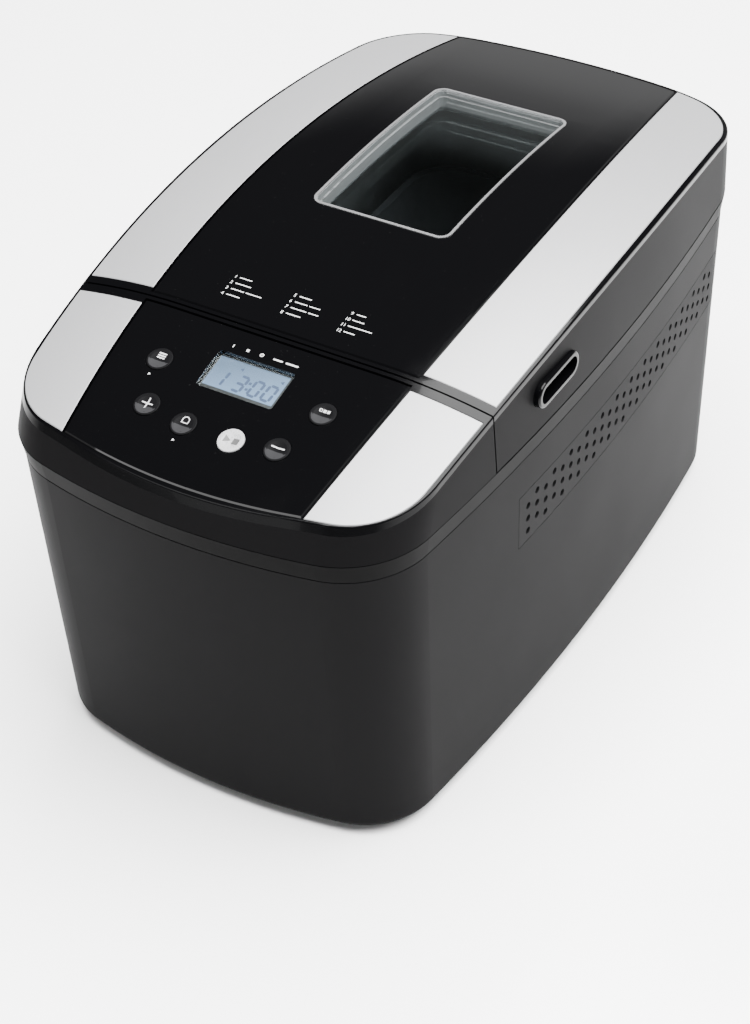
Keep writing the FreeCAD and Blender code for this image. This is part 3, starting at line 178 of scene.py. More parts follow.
class Finish:
    """One material, built node by node."""

    def __init__(self, name):
        self.material = bpy.data.materials.new(name)
        self.material.use_nodes = True
        self.tree = self.material.node_tree
        self.tree.nodes.clear()
        self.place = self.node("ShaderNodeTexCoord", output="Object")

    def node(self, kind, settings=None, inputs=None, output=0):
        """Adds one node, sets it, links or fills its inputs, and gives one output."""
        made = self.tree.nodes.new(kind)
        for key, value in (settings or {}).items():
            setattr(made, key, value)
        for key, value in (inputs or {}).items():
            if isinstance(value, Value):
                self.tree.links.new(value.socket, made.inputs[key])
            else:
                made.inputs[key].default_value = value
        return Value(self, made.outputs[output])

    def stretched(self, scale):
        """The machine's coordinates, scaled for patterns with a direction."""
        return self.node("ShaderNodeMapping", None, {"Vector": self.place, "Scale": scale})

    def along(self, axis):
        """One coordinate of the machine's frame."""
        return self.node("ShaderNodeSeparateXYZ", None, {"Vector": self.place}, output=axis)

    def depth(self):
        """How far a point lies below the crowned top."""
        back = self.along("Y") - CROWN_PEAK_Y
        return CROWN_PEAK_Z - (self.along("Z") + back * back * (0.5 / CROWN_RADIUS))

    def noise(self, size, detail=2.0, place=None):
        """Noise whose features are about size across, from 0 to 1."""
        return self.node("ShaderNodeTexNoise", None,
                         {"Vector": place or self.place, "Scale": 1.0 / size, "Detail": detail})

    def cells(self, size, feature="F1"):
        """Distance inside cells that are about size across."""
        return self.node("ShaderNodeTexVoronoi", {"feature": feature},
                         {"Vector": self.place, "Scale": 1.0 / size})

    def ramp(self, value, low, high):
        """0 at low, 1 at high, smooth in between."""
        return self.node("ShaderNodeMapRange", {"interpolation_type": "SMOOTHSTEP"},
                         {"Value": value, "From Min": low, "From Max": high})

    def mix(self, share, first, second):
        """The first colour where share is 0, the second where it is 1."""
        def rgba(tone):
            return tone if isinstance(tone, Value) else (*tone, 1.0)
        return self.node("ShaderNodeMix", {"data_type": "RGBA"},
                         {0: share, 6: rgba(first), 7: rgba(second)}, output=2)

    def bump(self, height, depth, strength):
        """A normal tilted by relief of this depth."""
        return self.node("ShaderNodeBump", None,
                         {"Height": height, "Distance": depth, "Strength": strength})

    def end(self, shader):
        """Links the shader to the output and gives the finished material."""
        output = self.tree.nodes.new("ShaderNodeOutputMaterial")
        self.tree.links.new(shader.socket, output.inputs["Surface"])
        return self.material

    def surface(self, **inputs):
        """A Principled surface. Underscores in the names stand for spaces."""
        named = {}
        for key, value in inputs.items():
            if key in ("Base_Color", "Emission_Color") and not isinstance(value, Value):
                value = (*value, 1.0)
            named[key.replace("_", " ")] = value
        return self.end(self.node("ShaderNodeBsdfPrincipled", None, named))


def shade(tone, factor):
    """A lighter or darker version of a colour."""
    return tuple(min(1.0, part * factor) for part in tone)


# ---- finishes ------------------------------------------------------------
def moulded_plastic(name, tone, grain=0.45 * MM, depth=0.03 * MM, rough=0.5):
    """Matte plastic with a spark-eroded grain and faint handling marks."""
    f = Finish(name)
    pores = f.noise(grain, 3.0)
    clouds = f.noise(60 * MM, 4.0)
    base = f.mix(pores * 0.5 + clouds * 0.3, shade(tone, 0.78), shade(tone, 1.3))
    return f.surface(Base_Color=base, Roughness=rough - 0.05 + clouds * 0.08 + pores * 0.06,
                     Specular_IOR_Level=0.02, Normal=f.bump(pores, depth, 0.7))


def piano_black(name, tone, rough=0.045, shine=1.0):
    """Deep gloss with a lacquer's faint waviness, wipe marks and a few dust specks."""
    f = Finish(name)
    wipes = f.noise(22 * MM, 5.0, f.stretched((1.0, 0.35, 1.0)))
    dust = f.ramp(f.cells(3.1 * MM), 0.035, 0.02)
    waves = f.noise(9 * MM, 1.0)
    base = f.mix(dust * 0.2, tone, (0.16, 0.16, 0.16))
    return f.surface(Base_Color=base, Roughness=rough + f.ramp(wipes, 0.5, 0.75) * 0.035,
                     Specular_IOR_Level=0.5 * shine, Coat_Weight=0.35 * shine,
                     Coat_Roughness=0.02, Normal=f.bump(waves, 0.02 * MM, 0.12))


def satin_silver(name, tone):
    """Silver lacquer over fine lengthwise brushing."""
    f = Finish(name)
    hairs = f.noise(0.35 * MM, 2.0, f.stretched((1.0, 0.012, 1.0)))
    flakes = f.cells(0.28 * MM)
    clouds = f.noise(80 * MM, 2.0)
    base = f.mix(hairs * 0.6 + flakes * 0.3, shade(tone, 0.88), shade(tone, 1.1))
    return f.surface(Base_Color=base, Metallic=0.5,
                     Roughness=0.4 + hairs * 0.08 + clouds * 0.04,
                     Normal=f.bump(hairs, 0.01 * MM, 0.35))


def printed(name, tone):
    """Screen-printed ink with slightly uneven cover."""
    f = Finish(name)
    cover = f.noise(0.25 * MM, 3.0)
    return f.surface(Base_Color=f.mix(cover, shade(tone, 0.85), tone),
                     Roughness=0.4 + cover * 0.1, Normal=f.bump(cover, 0.01 * MM, 0.4))


def speckled_key(name, tone):
    """Light moulded plastic with dark grains in it."""
    f = Finish(name)
    grains = f.ramp(f.cells(0.8 * MM), 0.42, 0.26)
    clouds = f.noise(0.9 * MM, 3.0)
    base = f.mix(grains * 0.7, f.mix(clouds, shade(tone, 0.85), shade(tone, 1.2)),
                 shade(tone, 0.45))
    return f.surface(Base_Color=base, Roughness=0.42 + clouds * 0.1,
                     Normal=f.bump(clouds, 0.02 * MM, 0.5))


def outside(f, offset, half):
    """1 where a coordinate lies more than half away from the display's middle."""
    return f.ramp(offset * offset, (half - DISPLAY_EDGE) ** 2, (half + DISPLAY_EDGE) ** 2)


def display_face(name, tone):
    """Liquid crystal behind a polariser in a black surround, with painted light that makes it
    brighter towards the front.
    """
    f = Finish(name)
    across, back = f.along("X") - DISPLAY_X, f.along("Y") - DISPLAY_Y
    surround = outside(f, across, DISPLAY_HALF_WIDTH) + outside(f, back, DISPLAY_HALF_HEIGHT)
    low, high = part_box("lcd_lens")
    # Painted light: a gradient, brighter towards the front, that stands for light falling on the
    # display.
    fade = f.node("ShaderNodeMapRange", None,
                  {"Value": f.along("Y") - f.along("X") * 0.35,
                   "From Min": low.y, "From Max": high.y})
    weave = f.noise(0.5 * MM, 2.0)
    lit = f.mix(fade * 0.75 + weave * 0.25, shade(tone, 1.25), shade(tone, 0.5))
    base = f.mix(surround, lit, (0.002, 0.002, 0.002))
    return f.surface(Base_Color=base, Roughness=0.35 + weave * 0.1, Emission_Color=base,
                     Emission_Strength=0.1)


def clear_pane(name, tint):
    """Clear glass: what lies behind shows through, and the surface reflects."""
    f = Finish(name)
    film = f.noise(35 * MM, 4.0)
    gloss = f.node("ShaderNodeBsdfPrincipled", None,
                   {"Base Color": (*tint, 1.0), "Metallic": 1.0, "Roughness": 0.03})
    clear = f.node("ShaderNodeBsdfTransparent", None, {"Color": (0.95, 0.97, 0.97, 1.0)})
    facing = f.node("ShaderNodeLayerWeight", None, {"Blend": 0.5}, output="Facing")
    share = facing * facing * facing * facing * 0.7 + f.ramp(film, 0.45, 0.8) * 0.01 + 0.035
    return f.end(f.node("ShaderNodeMixShader", None, {0: share, 1: clear, 2: gloss}))


def window_frame(name, tone):
    """Polished top edge over a dull grey inner wall."""
    f = Finish(name)
    hairs = f.noise(0.3 * MM, 2.0, f.stretched((1.0, 0.03, 1.0)))
    inner = f.ramp(f.depth(), 0.3 * MM, 0.9 * MM)
    return f.surface(Base_Color=f.mix(inner, tone, shade(tone, 0.16)),
                     Metallic=0.9 - inner * 0.7, Roughness=0.16 + hairs * 0.08 + inner * 0.25,
                     Normal=f.bump(hairs, 0.01 * MM, 0.3))


def rolled_steel(name, tone):
    """Sheet steel with rolling lines and a few spots."""
    f = Finish(name)
    lines = f.noise(0.5 * MM, 3.0, f.stretched((1.0, 0.02, 0.02)))
    spots = f.ramp(f.noise(14 * MM, 5.0), 0.5, 0.72)
    base = f.mix(lines * 0.5 + spots * 0.3, shade(tone, 1.08), shade(tone, 0.78))
    return f.surface(Base_Color=base, Metallic=1.0, Roughness=0.32 + lines * 0.1 + spots * 0.1,
                     Normal=f.bump(lines, 0.01 * MM, 0.4))


def bright_steel(name, tone):
    """Ground and polished steel."""
    f = Finish(name)
    lines = f.noise(0.2 * MM, 2.0, f.stretched((0.02, 0.02, 1.0)))
    return f.surface(Base_Color=f.mix(lines, shade(tone, 0.85), shade(tone, 1.1)), Metallic=1.0,
                     Roughness=0.14 + lines * 0.1, Normal=f.bump(lines, 0.005 * MM, 0.4))


def cast_metal(name, tone):
    """Die-cast aluminium with a fine skin."""
    f = Finish(name)
    skin = f.noise(0.9 * MM, 5.0)
    flow = f.noise(18 * MM, 3.0)
    return f.surface(Base_Color=f.mix(flow * 0.5 + skin * 0.4, shade(tone, 0.75), tone),
                     Metallic=1.0, Roughness=0.4 + skin * 0.15,
                     Normal=f.bump(skin, 0.06 * MM, 0.6))


def nonstick_coating(name, tone):
    """Dark sprayed coating with pale flecks."""
    f = Finish(name)
    flecks = f.ramp(f.cells(1.1 * MM), 0.16, 0.1)
    spray = f.noise(0.5 * MM, 3.0)
    base = f.mix(flecks * 0.45, f.mix(spray, shade(tone, 0.8), shade(tone, 1.3)),
                 (0.3, 0.3, 0.3))
    return f.surface(Base_Color=base, Metallic=0.25, Roughness=0.34 + spray * 0.12,
                     Normal=f.bump(spray, 0.02 * MM, 0.6))


def heated_tube(name, tone):
    """Heater sheath, darkened and blued in places by use."""
    f = Finish(name)
    bands = f.noise(26 * MM, 3.0)
    scale = f.noise(0.7 * MM, 4.0)
    base = f.mix(f.ramp(bands, 0.35, 0.7), tone, (0.09, 0.07, 0.085))
    return f.surface(Base_Color=base, Metallic=0.7, Roughness=0.42 + scale * 0.2,
                     Normal=f.bump(scale, 0.03 * MM, 0.5))


def sintered_bronze(name, tone):
    """Oil-filled bronze with open pores."""
    f = Finish(name)
    pores = f.ramp(f.cells(0.5 * MM), 0.3, 0.12)
    return f.surface(Base_Color=f.mix(pores, tone, shade(tone, 0.35)), Metallic=1.0,
                     Roughness=0.34 + pores * 0.3, Normal=f.bump(1.0 - pores, 0.03 * MM, 0.6))


def soft_rubber(name, tone):
    """Black rubber with a bloom and fine cross ribs."""
    pitch = 2.0 * MM
    f = Finish(name)
    ribs = f.node("ShaderNodeTexWave", None, {"Vector": f.place, "Scale": 0.31 / pitch})
    bloom = f.noise(7 * MM, 4.0)
    return f.surface(Base_Color=f.mix(bloom, tone, shade(tone, 2.4)),
                     Roughness=0.66 + bloom * 0.12, Normal=f.bump(ribs, 0.1 * MM, 0.35))


def circuit_board(name, tone):
    """Green solder mask over copper tracks, with tinned pads."""
    f = Finish(name)
    tracks = f.ramp(f.cells(6.5 * MM, "DISTANCE_TO_EDGE"), 0.075, 0.045)
    pads = f.ramp(f.cells(4.1 * MM), 0.2, 0.14)
    base = f.mix(pads, f.mix(tracks * 0.6, tone, shade(tone, 2.0)), (0.62, 0.62, 0.6))
    return f.surface(Base_Color=base, Metallic=pads * 0.9, Roughness=0.38 - pads * 0.1,
                     Normal=f.bump(tracks + pads, 0.05 * MM, 0.5))


def plated_sheet(name, tone):
    """Zinc-plated sheet with a faint spangle."""
    f = Finish(name)
    spangle = f.node("ShaderNodeTexVoronoi", None,
                     {"Vector": f.place, "Scale": 1.0 / (7 * MM)}, output="Color")
    tint = f.node("ShaderNodeSeparateColor", None, {"Color": spangle})
    lines = f.noise(0.6 * MM, 3.0)
    return f.surface(Base_Color=f.mix(tint, shade(tone, 0.8), shade(tone, 1.25)), Metallic=0.9,
                     Roughness=0.34 + tint * 0.1 + lines * 0.06,
                     Normal=f.bump(lines, 0.01 * MM, 0.4))


def pale_floor(name, tone):
    """Smooth sweep of board, very slightly uneven."""
    f = Finish(name)
    clouds = f.noise(0.6, 2.0)
    return f.surface(Base_Color=f.mix(clouds, shade(tone, 0.995), tone), Roughness=0.14,
                     Specular_IOR_Level=0.5)


def cut_nylon(name, tone):
    """Natural nylon, slightly clouded, with turning marks."""
    f = Finish(name)
    clouds = f.noise(11 * MM, 3.0)
    marks = f.noise(0.4 * MM, 2.0)
    return f.surface(Base_Color=f.mix(clouds, shade(tone, 0.86), tone),
                     Roughness=0.45 + marks * 0.12, Normal=f.bump(marks, 0.02 * MM, 0.5))


# ---- modelling -----------------------------------------------------------
def activate(piece):
    """Makes one object the only selected and active one, in object mode."""
    if bpy.context.object and bpy.context.object.mode != "OBJECT":
        bpy.ops.object.mode_set(mode="OBJECT")
    bpy.ops.object.select_all(action="DESELECT")
    if piece is not None:
        piece.select_set(True)
        bpy.context.view_layer.objects.active = piece
    return piece


def modify(piece, kind, **settings):
    """Adds one modifier and applies it."""
    activate(piece)
    bpy.ops.object.modifier_add(type=kind)
    modifier = piece.modifiers[-1]
    for key, value in settings.items():
        setattr(modifier, key, value)
    bpy.ops.object.modifier_apply(modifier=modifier.name)


def settle(piece, matrix=None):
    """Puts a piece in its place and moves that place into its mesh."""
    activate(piece)
    if matrix is not None:
        piece.matrix_world = matrix @ piece.matrix_world
    bpy.ops.object.transform_apply(location=True, rotation=True, scale=True)
    return piece


def join(name, pieces):
    """Joins pieces into one object."""
    activate(pieces[0])
    for piece in pieces:
        piece.select_set(True)
    if len(pieces) > 1:
        bpy.ops.object.join()
    return rename(bpy.context.object, name)


def rename(piece, name):
    """Names an object and its mesh."""
    piece.name = piece.data.name = name
    return piece


def paint(piece, material):
    """Gives a piece one material."""
    piece.data.materials.clear()
    piece.data.materials.append(material)
    return piece


def hand_over(piece, body, material):
    """Paints a finished piece, smooths it, and puts it on its body."""
    paint(piece, material)
    activate(piece)
    bpy.ops.object.shade_smooth_by_angle(angle=SMOOTH_ANGLE)
    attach(piece, body)
    activate(None)
    return piece


def over_crown(y, height):
    """Frame over the middle of the crowned top at y, with Z along the outward normal."""
    tilt = math.asin((CROWN_PEAK_Y - y) / CROWN_RADIUS)
    radius = CROWN_RADIUS + height
    spot = Vector((0, CROWN_PEAK_Y - radius * math.sin(tilt),
                   CROWN_PEAK_Z - CROWN_RADIUS + radius * math.cos(tilt)))
    return Matrix.Translation(spot) @ Matrix.Rotation(tilt, 4, "X")


def flat_bar(wide, tall, x=0.0, y=0.0, corner=0.4):
    """A flat bar with cut corners, lying in the plane. Corner is a share of its short side."""
    activate(None)
    bpy.ops.mesh.primitive_plane_add(size=1.0, location=(0, 0, 0))
    bar = bpy.context.object
    bar.scale = (wide, tall, 1.0)
    settle(bar)
    bpy.ops.object.mode_set(mode="EDIT")
    bpy.ops.mesh.select_all(action="SELECT")
    bpy.ops.mesh.bevel(offset=min(wide, tall) * corner, segments=2, affect="VERTICES")
    bpy.ops.object.mode_set(mode="OBJECT")
    return settle(bar, Matrix.Translation((x, y, 0)))


def flat_disc(radius, x=0.0, y=0.0, sides=32, turn=0.0, hole=0.0):
    """A flat disc, ring or polygon, lying in the plane."""
    activate(None)
    bpy.ops.mesh.primitive_circle_add(vertices=sides, radius=radius, fill_type="NGON")
    disc = bpy.context.object
    if hole:
        bpy.ops.object.mode_set(mode="EDIT")
        bpy.ops.mesh.select_mode(type="FACE")
        bpy.ops.mesh.select_all(action="SELECT")
        bpy.ops.mesh.inset(thickness=radius - hole)
        bpy.ops.mesh.delete(type="FACE")
        bpy.ops.object.mode_set(mode="OBJECT")
    return settle(disc, Matrix.Translation((x, y, 0)) @ Matrix.Rotation(turn, 4, "Z"))


def trimmed(piece, origin, normal):
    """Cuts off the side of a flat piece that the normal points to."""
    activate(piece)
    bpy.ops.object.mode_set(mode="EDIT")
    bpy.ops.mesh.select_all(action="SELECT")
    bpy.ops.mesh.bisect(plane_co=origin, plane_no=normal, clear_outer=True)
    bpy.ops.object.mode_set(mode="OBJECT")
    return piece


def figure(text, tall, x, y):
    """A flat printed number, its lower left corner at x, y."""
    activate(None)
    bpy.ops.object.text_add(location=(0, 0, 0))
    words = bpy.context.object
    words.data.body, words.data.size, words.data.resolution_u = text, tall * TEXT_SIZE, 3
    bpy.ops.object.convert(target="MESH")
    return settle(bpy.context.object, Matrix.Translation((x, y, 0)))


def print_on(piece, node, depth, steps=0):
    """Lays flat artwork onto a part from above and gives it an ink's thickness.

    The artwork is first cut finer in this many steps, so that it follows a hollow part.
    """
    if steps:
        activate(piece)
        bpy.ops.object.mode_set(mode="EDIT")
        bpy.ops.mesh.select_all(action="SELECT")
        bpy.ops.mesh.quads_convert_to_tris()
        bpy.ops.mesh.subdivide(number_cuts=steps)
        bpy.ops.object.mode_set(mode="OBJECT")
    modify(piece, "SHRINKWRAP", target=NODES[node], wrap_method="PROJECT",
           use_project_z=True, use_negative_direction=True, use_positive_direction=True)
    modify(piece, "SOLIDIFY", thickness=depth, offset=0.5)
    return piece


def dress(nodes, material):
    """Gives parts their finish without changing them."""
    for node in nodes:
        paint(NODES[node], material)


def settings(context):
    """The colours and the sizes of the fine pieces."""
    return context.scene.machine_colours, context.scene.machine_sizes


# ---- key symbols ---------------------------------------------------------
def list_symbol(size):
    """Three lines of a list."""
    return [flat_bar(size * 0.72, size * 0.11, 0, size * (0.12 + 0.2 * row)) for row in range(3)]


def shade_symbol(size):
    """Three squares, from an outline to a filled one."""
    side = size * 0.25
    row = size * 0.3
    return [flat_disc(side * 0.7, (column - 1) * side * 1.35, row, 4, math.pi / 4, hole)
            for column, hole in enumerate((side * 0.52, side * 0.3, 0.0))]


def plus_symbol(size):
    """One bar across and a short one on each side of it."""
    return [flat_bar(size * 1.0, size * 0.1, 0, size * 0.08),
            flat_bar(size * 0.1, size * 0.44, 0, size * 0.36, 0.1),
            flat_bar(size * 0.1, size * 0.44, 0, -size * 0.2, 0.1)]


def minus_symbol(size):
    """One bar across."""
    return [flat_bar(size * 1.2, size * 0.1, 0, size * 0.16)]


def loaf_symbol(size):
    """A loaf's outline: a long block with a round top."""
    return [flat_bar(size * 0.62, size * 0.07, 0, size * 0.1),
            flat_bar(size * 0.07, size * 0.26, -size * 0.28, size * 0.24),
            flat_bar(size * 0.07, size * 0.26, size * 0.28, size * 0.24),
            trimmed(flat_disc(size * 0.34, 0, size * 0.3, 32, 0, size * 0.27),
                    (0, size * 0.38, 0), (0, -1, 0))]


def start_symbol(size):
    """A triangle and a square."""
    return [flat_disc(size * 0.38, -size * 0.42, 0, 3, -math.pi / 2),
            flat_disc(size * 0.38, size * 0.42, 0, 4, math.pi / 4)]


SYMBOLS = {"menu_button": list_symbol, "colour_button": shade_symbol,
           "plus_button": plus_symbol, "minus_button": minus_symbol,
           "loaf_button": loaf_symbol, "start_button": start_symbol}


# ---- operators -----------------------------------------------------------
class BREAD_OT_body(bpy.types.Operator):
    """Matte housing, trim band with painted shade, collar, lid skirt and side grilles."""
    bl_idname = "bread.body"
    bl_label = "Body"

    def execute(self, context):
        colours = context.scene.machine_colours
        dress(("housing", "control_collar", "lid_shell"),
              moulded_plastic("Body_plastic", colours.body))
        # Painted shade: the trim band is the body's own plastic, made darker to stand for the
        # shade it lies in.
        dress(("trim_band",), moulded_plastic("Body_plastic_painted_shade", shade(colours.body, 0.3)))
        dress(("vent_grille_left", "vent_grille_right"),
              moulded_plastic("Grille_plastic", colours.grille, rough=0.55))
        dress(("base_plate", "cord_inlet", "hinge_barrel", "hinge_arms"),
              moulded_plastic("Base_plastic", shade(colours.body, 0.7), 0.8 * MM))
        dress(("feet",), soft_rubber("Foot_rubber", (0.015, 0.015, 0.015)))
        return {"FINISHED"}


class BREAD_OT_top(bpy.types.Operator):
    """Gloss panels and rim, silver strips, finger grips."""
    bl_idname = "bread.top"
    bl_label = "Top"

    def execute(self, context):
        colours = context.scene.machine_colours
        dress(("control_panel", "lid_panel"), piano_black("Gloss_black", colours.gloss))
        dress(("collar_frame", "lid_frame", "lid_grip_left", "lid_grip_right"),
              piano_black("Gloss_rim", colours.gloss, 0.14, 0.15))
        dress(("silver_strip_left", "silver_strip_right", "corner_trim_left",
               "corner_trim_right"), satin_silver("Silver", colours.silver))
        return {"FINISHED"}


class BREAD_OT_window(bpy.types.Operator):
    """Both panes and the frame between them."""
    bl_idname = "bread.window"
    bl_label = "Window"

    def execute(self, context):
        colours = context.scene.machine_colours
        dress(("window_glass", "inner_glass"), clear_pane("Clear_glass", (0.9, 0.93, 0.93)))
        dress(("window_well",), window_frame("Window_frame", colours.bezel))
        return {"FINISHED"}


class BREAD_OT_keys(bpy.types.Operator):
    """Six round keys with painted highlights on their scoops, and symbols."""
    bl_idname = "bread.keys"
    bl_label = "Keys"

    # Size and straight edge of the painted highlight crescent on each dark key.
    scoop_radius = 6.0 * MM
    scoop_edge = -1.3 * MM
    clearance = 5.0 * MM

    def execute(self, context):
        colours, sizes = settings(context)
        dress(DARK_KEYS, moulded_plastic("Key_black", colours.key, 0.3 * MM, 0.01 * MM, 0.4))
        dress(("start_button",), speckled_key("Start_key", colours.start))
        # Painted highlight: the crescent on each dark key's scoop is a lighter plastic standing
        # for light caught there.
        highlight_finish = moulded_plastic("Key_scoop", colours.moon, 0.3 * MM, 0.01 * MM, 0.34)
        ink = printed("Ink", colours.ink)
        dark = printed("Dark_ink", (0.05, 0.05, 0.05))
        for key in (*DARK_KEYS, "start_button"):
            low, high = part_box(key)
            x = (low.x + high.x) / 2
            above = Matrix.Translation((x, FRONT + KEY_BACK[key], high.z + self.clearance))
            if key != "start_button":
                moon = trimmed(flat_disc(self.scoop_radius, sides=40), (0, self.scoop_edge, 0),
                               (0, 1, 0))
                settle(moon, above)
                print_on(moon, key, sizes.print_depth, 3)
                hand_over(rename(moon, key + "_scoop"), key, highlight_finish)
            marks = settle(join(key + "_symbol", SYMBOLS[key](sizes.symbol)), above)
            print_on(marks, key, sizes.print_depth * 1.4, 1)
            hand_over(marks, key,
                      dark if key == "start_button" else ink)
        return {"FINISHED"}


class BREAD_OT_display(bpy.types.Operator):
    """Display with its digits, pointers and lens."""
    bl_idname = "bread.display"
    bl_label = "Display"

    lit = {"1": "bc", "3": "abgcd", "0": "abcdef"}
    digits = (("1", -14.0 * MM), ("3", -2.4 * MM), ("0", 6.9 * MM), ("0", 14.8 * MM))
    middle_y = -0.6 * MM
    colon_x = 2.3 * MM
    pointers = (-6.2 * MM, 17.6 * MM)
    pointer_y = 7.9 * MM
    clearance = 4.0 * MM
    lean = Matrix(((1, 0.12, 0, 0), (0, 1, 0, 0), (0, 0, 1, 0), (0, 0, 0, 1)))

    def digit(self, figure_name, x, y, tall, thick):
        """One figure made of pointed bars, leaning a little."""
        wide, half, gap = tall * 0.5, tall / 2, thick * 0.35
        spots = {"a": (0, half, 0), "g": (0, 0, 0), "d": (0, -half, 0),
                 "b": (wide / 2, half / 2, 1), "c": (wide / 2, -half / 2, 1),
                 "f": (-wide / 2, half / 2, 1), "e": (-wide / 2, -half / 2, 1)}
        bars = []
        for segment in self.lit[figure_name]:
            dx, dy, upright = spots[segment]
            bar = flat_bar((half if upright else wide) - gap, thick, corner=0.49)
            turn = math.pi / 2 if upright else 0.0
            bars.append(settle(bar, Matrix.Translation((x, y, 0)) @ self.lean
                               @ Matrix.Translation((dx, dy, 0)) @ Matrix.Rotation(turn, 4, "Z")))
        return bars

    def execute(self, context):
        colours, sizes = settings(context)
        dress(("lcd_module",), display_face("Display_face", colours.display))
        dress(("lcd_lens",), clear_pane("Lens", (0.9, 0.93, 0.95)))
        tall, thick = sizes.digit, sizes.segment
        marks = []
        for name, x in self.digits:
            marks += self.digit(name, x, self.middle_y, tall, thick)
        marks += [flat_bar(thick, thick, self.colon_x, self.middle_y + step, 0.2)
                  for step in (-2.0 * MM, 2.0 * MM)]
        marks += [flat_disc(1.3 * MM, x, self.pointer_y, 3, math.pi / 2) for x in self.pointers]
        low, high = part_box("lcd_lens")
        middle = (low + high) / 2
        face = settle(join("display_digits", marks), over_crown(middle.y, self.clearance))
        print_on(face, "lcd_module", 0.06 * MM)
        hand_over(face, "root", printed("Digit_ink", colours.digit))
        return {"FINISHED"}


class BREAD_OT_panel_marks(bpy.types.Operator):
    """Small marks over the display and pointers below two keys."""
    bl_idname = "bread.panel_marks"
    bl_label = "Panel marks"

    bars = ((9.0 * MM, 5.6 * MM), (17.3 * MM, 7.4 * MM))
    pointers = ((-48.5 * MM, 62.65 * MM), (-14.0 * MM, 32.65 * MM))

    def execute(self, context):
        colours, sizes = settings(context)
        marks = [flat_bar(0.5 * MM, 1.9 * MM, -17.6 * MM, ICONS_Y),
                 flat_disc(1.1 * MM, -9.0 * MM, ICONS_Y, 4, math.pi / 4),
                 flat_disc(1.1 * MM, -0.6 * MM, ICONS_Y, 24, 0, 0.55 * MM)]
        marks += [flat_bar(wide, 0.9 * MM, x, ICONS_Y) for x, wide in self.bars]
        marks += [flat_disc(0.9 * MM, x, FRONT + back, 3, -math.pi / 2)
                  for x, back in self.pointers]
        sheet = settle(join("panel_marks", marks), Matrix.Translation((0, 0, CROWN_PEAK_Z)))
        print_on(sheet, "control_panel", sizes.print_depth)
        hand_over(sheet, "root", printed("Panel_ink", colours.ink))
        return {"FINISHED"}


class BREAD_OT_programme_list(bpy.types.Operator):
    """Twelve numbered lines on the lid, in three columns, with bars for words."""
    bl_idname = "bread.programme_list"
    bl_label = "Programme list"

    bar_height = 0.6 * MM
    word_gap = 1.1 * MM
    indent = 3.2 * MM
    second_digit = 0.9 * MM

    # Each column's left edge, then for each row the lengths of its words, in millimetres.
    columns = ((-44.6, ((7.5,), (9.5,), (8.0, 9.5), (8.0,))),
               (-8.2, ((7.5,), (7.5, 6.5), (9.5, 6.0), (8.5,))),
               (26.0, ((5.5,), (7.0,), (14.0,), (6.5,))))

    def execute(self, context):
        colours, sizes = settings(context)
        marks, number = [], 0
        for x, rows in self.columns:
            for row, words in enumerate(rows):
                number += 1
                y = LIST_Y - row * sizes.row
                left = x * MM - (self.second_digit if number > 9 else 0.0)
                marks.append(figure(str(number), sizes.figure, left, y - sizes.figure / 2))
                start = x * MM + self.indent
                for wide in words:
                    marks.append(flat_bar(wide * MM, self.bar_height, start + wide * MM / 2, y))
                    start += wide * MM + self.word_gap
        sheet = settle(join("programme_list", marks), Matrix.Translation((0, 0, CROWN_PEAK_Z)))
        print_on(sheet, "lid_panel", sizes.print_depth)
        hand_over(sheet, "lid", printed("List_ink", colours.ink))
        return {"FINISHED"}


class BREAD_OT_chamber(bpy.types.Operator):
    """Baking chamber, heater, seat and lid liner."""
    bl_idname = "bread.chamber"
    bl_label = "Chamber"

    def execute(self, context):
        colours = context.scene.machine_colours
        dress(("chamber_liner", "lid_liner", "chamber_deck", "temperature_sensor"),
              rolled_steel("Liner_steel", colours.steel))
        dress(("heating_element",), heated_tube("Heater_sheath", (0.16, 0.15, 0.14)))
        dress(("pan_seat", "drive_base"), cast_metal("Cast_aluminium", (0.6, 0.6, 0.61)))
        return {"FINISHED"}


class BREAD_OT_pan(bpy.types.Operator):
    """Pan, paddles, bail and their shafts."""
    bl_idname = "bread.pan"
    bl_label = "Pan and paddles"

    def execute(self, context):
        colours = context.scene.machine_colours
        dress(("bread_pan", "paddle_front", "paddle_rear"),
              nonstick_coating("Nonstick", colours.nonstick))
        dress(("main_shaft", "second_shaft", "paddle_shaft_front", "paddle_shaft_rear",
               "hinge_pin", "housing_screws", "pan_handle"),
              bright_steel("Shaft_steel", (0.68, 0.68, 0.69)))
        dress(("shaft_bearings", "pan_bushes"), sintered_bronze("Bronze", (0.55, 0.4, 0.22)))
        return {"FINISHED"}


class BREAD_OT_drive(bpy.types.Operator):
    """Motor, pulleys, belts and boards."""
    bl_idname = "bread.drive"
    bl_label = "Drive"

    def execute(self, context):
        dress(("main_pulley", "second_pulley"), cut_nylon("Pulley_nylon", (0.75, 0.73, 0.68)))
        dress(("motor_body", "motor_bracket", "motor_pulley"),
              plated_sheet("Motor_steel", (0.4, 0.4, 0.41)))
        dress(("drive_belt", "link_belt"), soft_rubber("Belt_rubber", (0.02, 0.02, 0.02)))
        dress(("control_board", "power_board"), circuit_board("Board", (0.02, 0.12, 0.05)))
        return {"FINISHED"}


